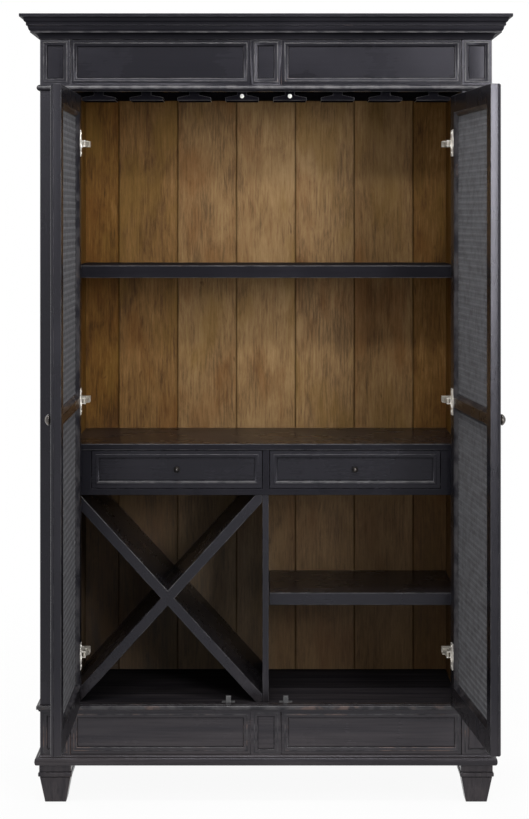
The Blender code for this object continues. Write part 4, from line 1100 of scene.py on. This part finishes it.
class CABINET_OT_stage(bpy.types.Operator):
    """Lay the floor, hang the lights and place the camera"""
    bl_idname = "cabinet.stage"
    bl_label = "Stage"

    def execute(self, context):
        scene = context.scene
        settings = scene.cabinet_stage
        scene.view_settings.view_transform = "Standard"
        self.lay_floor(scene)
        self.light_world(scene, settings.ambient)
        for name, spot, target, size, spread in LAMPS:
            self.hang(scene, name, spot, target, size, spread, getattr(settings, name))
        camera = bpy.data.cameras.new("camera")
        camera.lens = FOCAL_PIXELS * camera.sensor_width / FRAME_HEIGHT
        camera.shift_x = SIDE_SHIFT
        camera.shift_y = SHIFT_PIXELS / FRAME_HEIGHT
        stand = bpy.data.objects.new("camera", camera)
        stand.location = (0.0, FRONT - settings.camera_distance, settings.camera_height)
        stand.rotation_euler = (math.pi / 2, 0.0, 0.0)
        scene.collection.objects.link(stand)
        scene.camera = stand
        return {"FINISHED"}

    def lay_floor(self, scene):
        """Lay a pale floor that is seen as white far out and keeps the shadow near the feet."""
        bm = bmesh.new()
        bmesh.ops.create_grid(bm, x_segments=1, y_segments=1, size=FLOOR_REACH)
        mesh = bpy.data.meshes.new("floor")
        bm.to_mesh(mesh)
        bm.free()
        tones = colours()
        finish = Finish("pale_floor")
        specks = finish.spread(finish.noise(finish.place, 60.0), 0.3, 0.7)
        finish.close(finish.mix(specks, tones.floor, tones.floor_speck), 0.6, specular=0.2)
        out = finish.add("ShaderNodeVectorMath", {0: finish.place}, operation="LENGTH").outputs["Value"]
        fade = finish.spread(out, *FLOOR_FADE, to_low=FLOOR_WHITE)
        share = finish.math("MULTIPLY", finish.seen_directly(), fade)
        white = finish.add("ShaderNodeEmission", {"Color": WHITE, "Strength": 1.0})
        values = {0: share, 1: finish.shader.outputs[0], 2: white.outputs[0]}
        surface = finish.add("ShaderNodeMixShader", values)
        finish.put(finish.tree.nodes["Material Output"].inputs["Surface"], surface.outputs[0])
        mesh.materials.append(finish.material)
        floor = bpy.data.objects.new("floor", mesh)
        scene.collection.objects.link(floor)

    def light_world(self, scene, ambient):
        """Light the object from all round, before a background that is seen as white."""
        world = bpy.data.worlds.new("studio")
        world.use_nodes = True
        tree = world.node_tree
        shown = tree.nodes["Background"]
        around = tree.nodes.new("ShaderNodeBackground")
        for background, strength in ((shown, 1.0), (around, ambient)):
            background.inputs["Color"].default_value = WHITE
            background.inputs["Strength"].default_value = strength
        paths = tree.nodes.new("ShaderNodeLightPath")
        share = paths.outputs["Is Camera Ray"]
        for ray in ("Is Glossy Ray", "Is Transmission Ray"):
            larger = tree.nodes.new("ShaderNodeMath")
            larger.operation = "MAXIMUM"
            tree.links.new(share, larger.inputs[0])
            tree.links.new(paths.outputs[ray], larger.inputs[1])
            share = larger.outputs[0]
        mixed = tree.nodes.new("ShaderNodeMixShader")
        tree.links.new(share, mixed.inputs[0])
        tree.links.new(around.outputs[0], mixed.inputs[1])
        tree.links.new(shown.outputs[0], mixed.inputs[2])
        tree.links.new(mixed.outputs[0], tree.nodes["World Output"].inputs["Surface"])
        scene.world = world

    def hang(self, scene, name, spot, target, size, spread, energy):
        """Hang a soft rectangular light that faces a target."""
        lamp = bpy.data.lights.new(name, "AREA")
        lamp.shape = "RECTANGLE"
        lamp.spread = math.radians(spread)
        lamp.size, lamp.size_y = size
        lamp.energy = energy
        holder = bpy.data.objects.new(name, lamp)
        holder.location = spot
        aim = Vector(target) - Vector(spot)
        holder.rotation_euler = aim.to_track_quat("-Z", "Y").to_euler()
        scene.collection.objects.link(holder)


GROUPS = {"cabinet_sizes": CabinetSizes, "cabinet_colours": CabinetColours, "cabinet_stage": CabinetStage}
MAKERS = (
    CABINET_OT_stage, CABINET_OT_posts, CABINET_OT_case, CABINET_OT_mouldings, CABINET_OT_feet,
    CABINET_OT_boards, CABINET_OT_bumpers, CABINET_OT_catches, CABINET_OT_drawers,
    CABINET_OT_door_frames, CABINET_OT_mesh_panels, CABINET_OT_knobs, CABINET_OT_hinges,
)


class CABINET_PT_makers(bpy.types.Panel):
    """Buttons that make the cabinet's pieces"""
    bl_idname = "CABINET_PT_makers"
    bl_label = "Display Cabinet"
    bl_space_type = "VIEW_3D"
    bl_region_type = "UI"
    bl_category = "Cabinet"

    def draw(self, context):
        for maker in MAKERS:
            self.layout.operator(maker.bl_idname)
        for key, group in GROUPS.items():
            box = self.layout.box()
            for name in group.__annotations__:
                box.prop(getattr(context.scene, key), name)


CLASSES = (*GROUPS.values(), *MAKERS, CABINET_PT_makers)


def register():
    for one in CLASSES:
        bpy.utils.register_class(one)
    for key, group in GROUPS.items():
        setattr(bpy.types.Scene, key, PointerProperty(type=group))


def unregister():
    for key in GROUPS:
        delattr(bpy.types.Scene, key)
    for one in reversed(CLASSES):
        bpy.utils.unregister_class(one)


def main():
    register()
    for maker in MAKERS:
        group, call = maker.bl_idname.split(".")
        getattr(getattr(bpy.ops, group), call)()


if __name__ == "__main__":
    main()
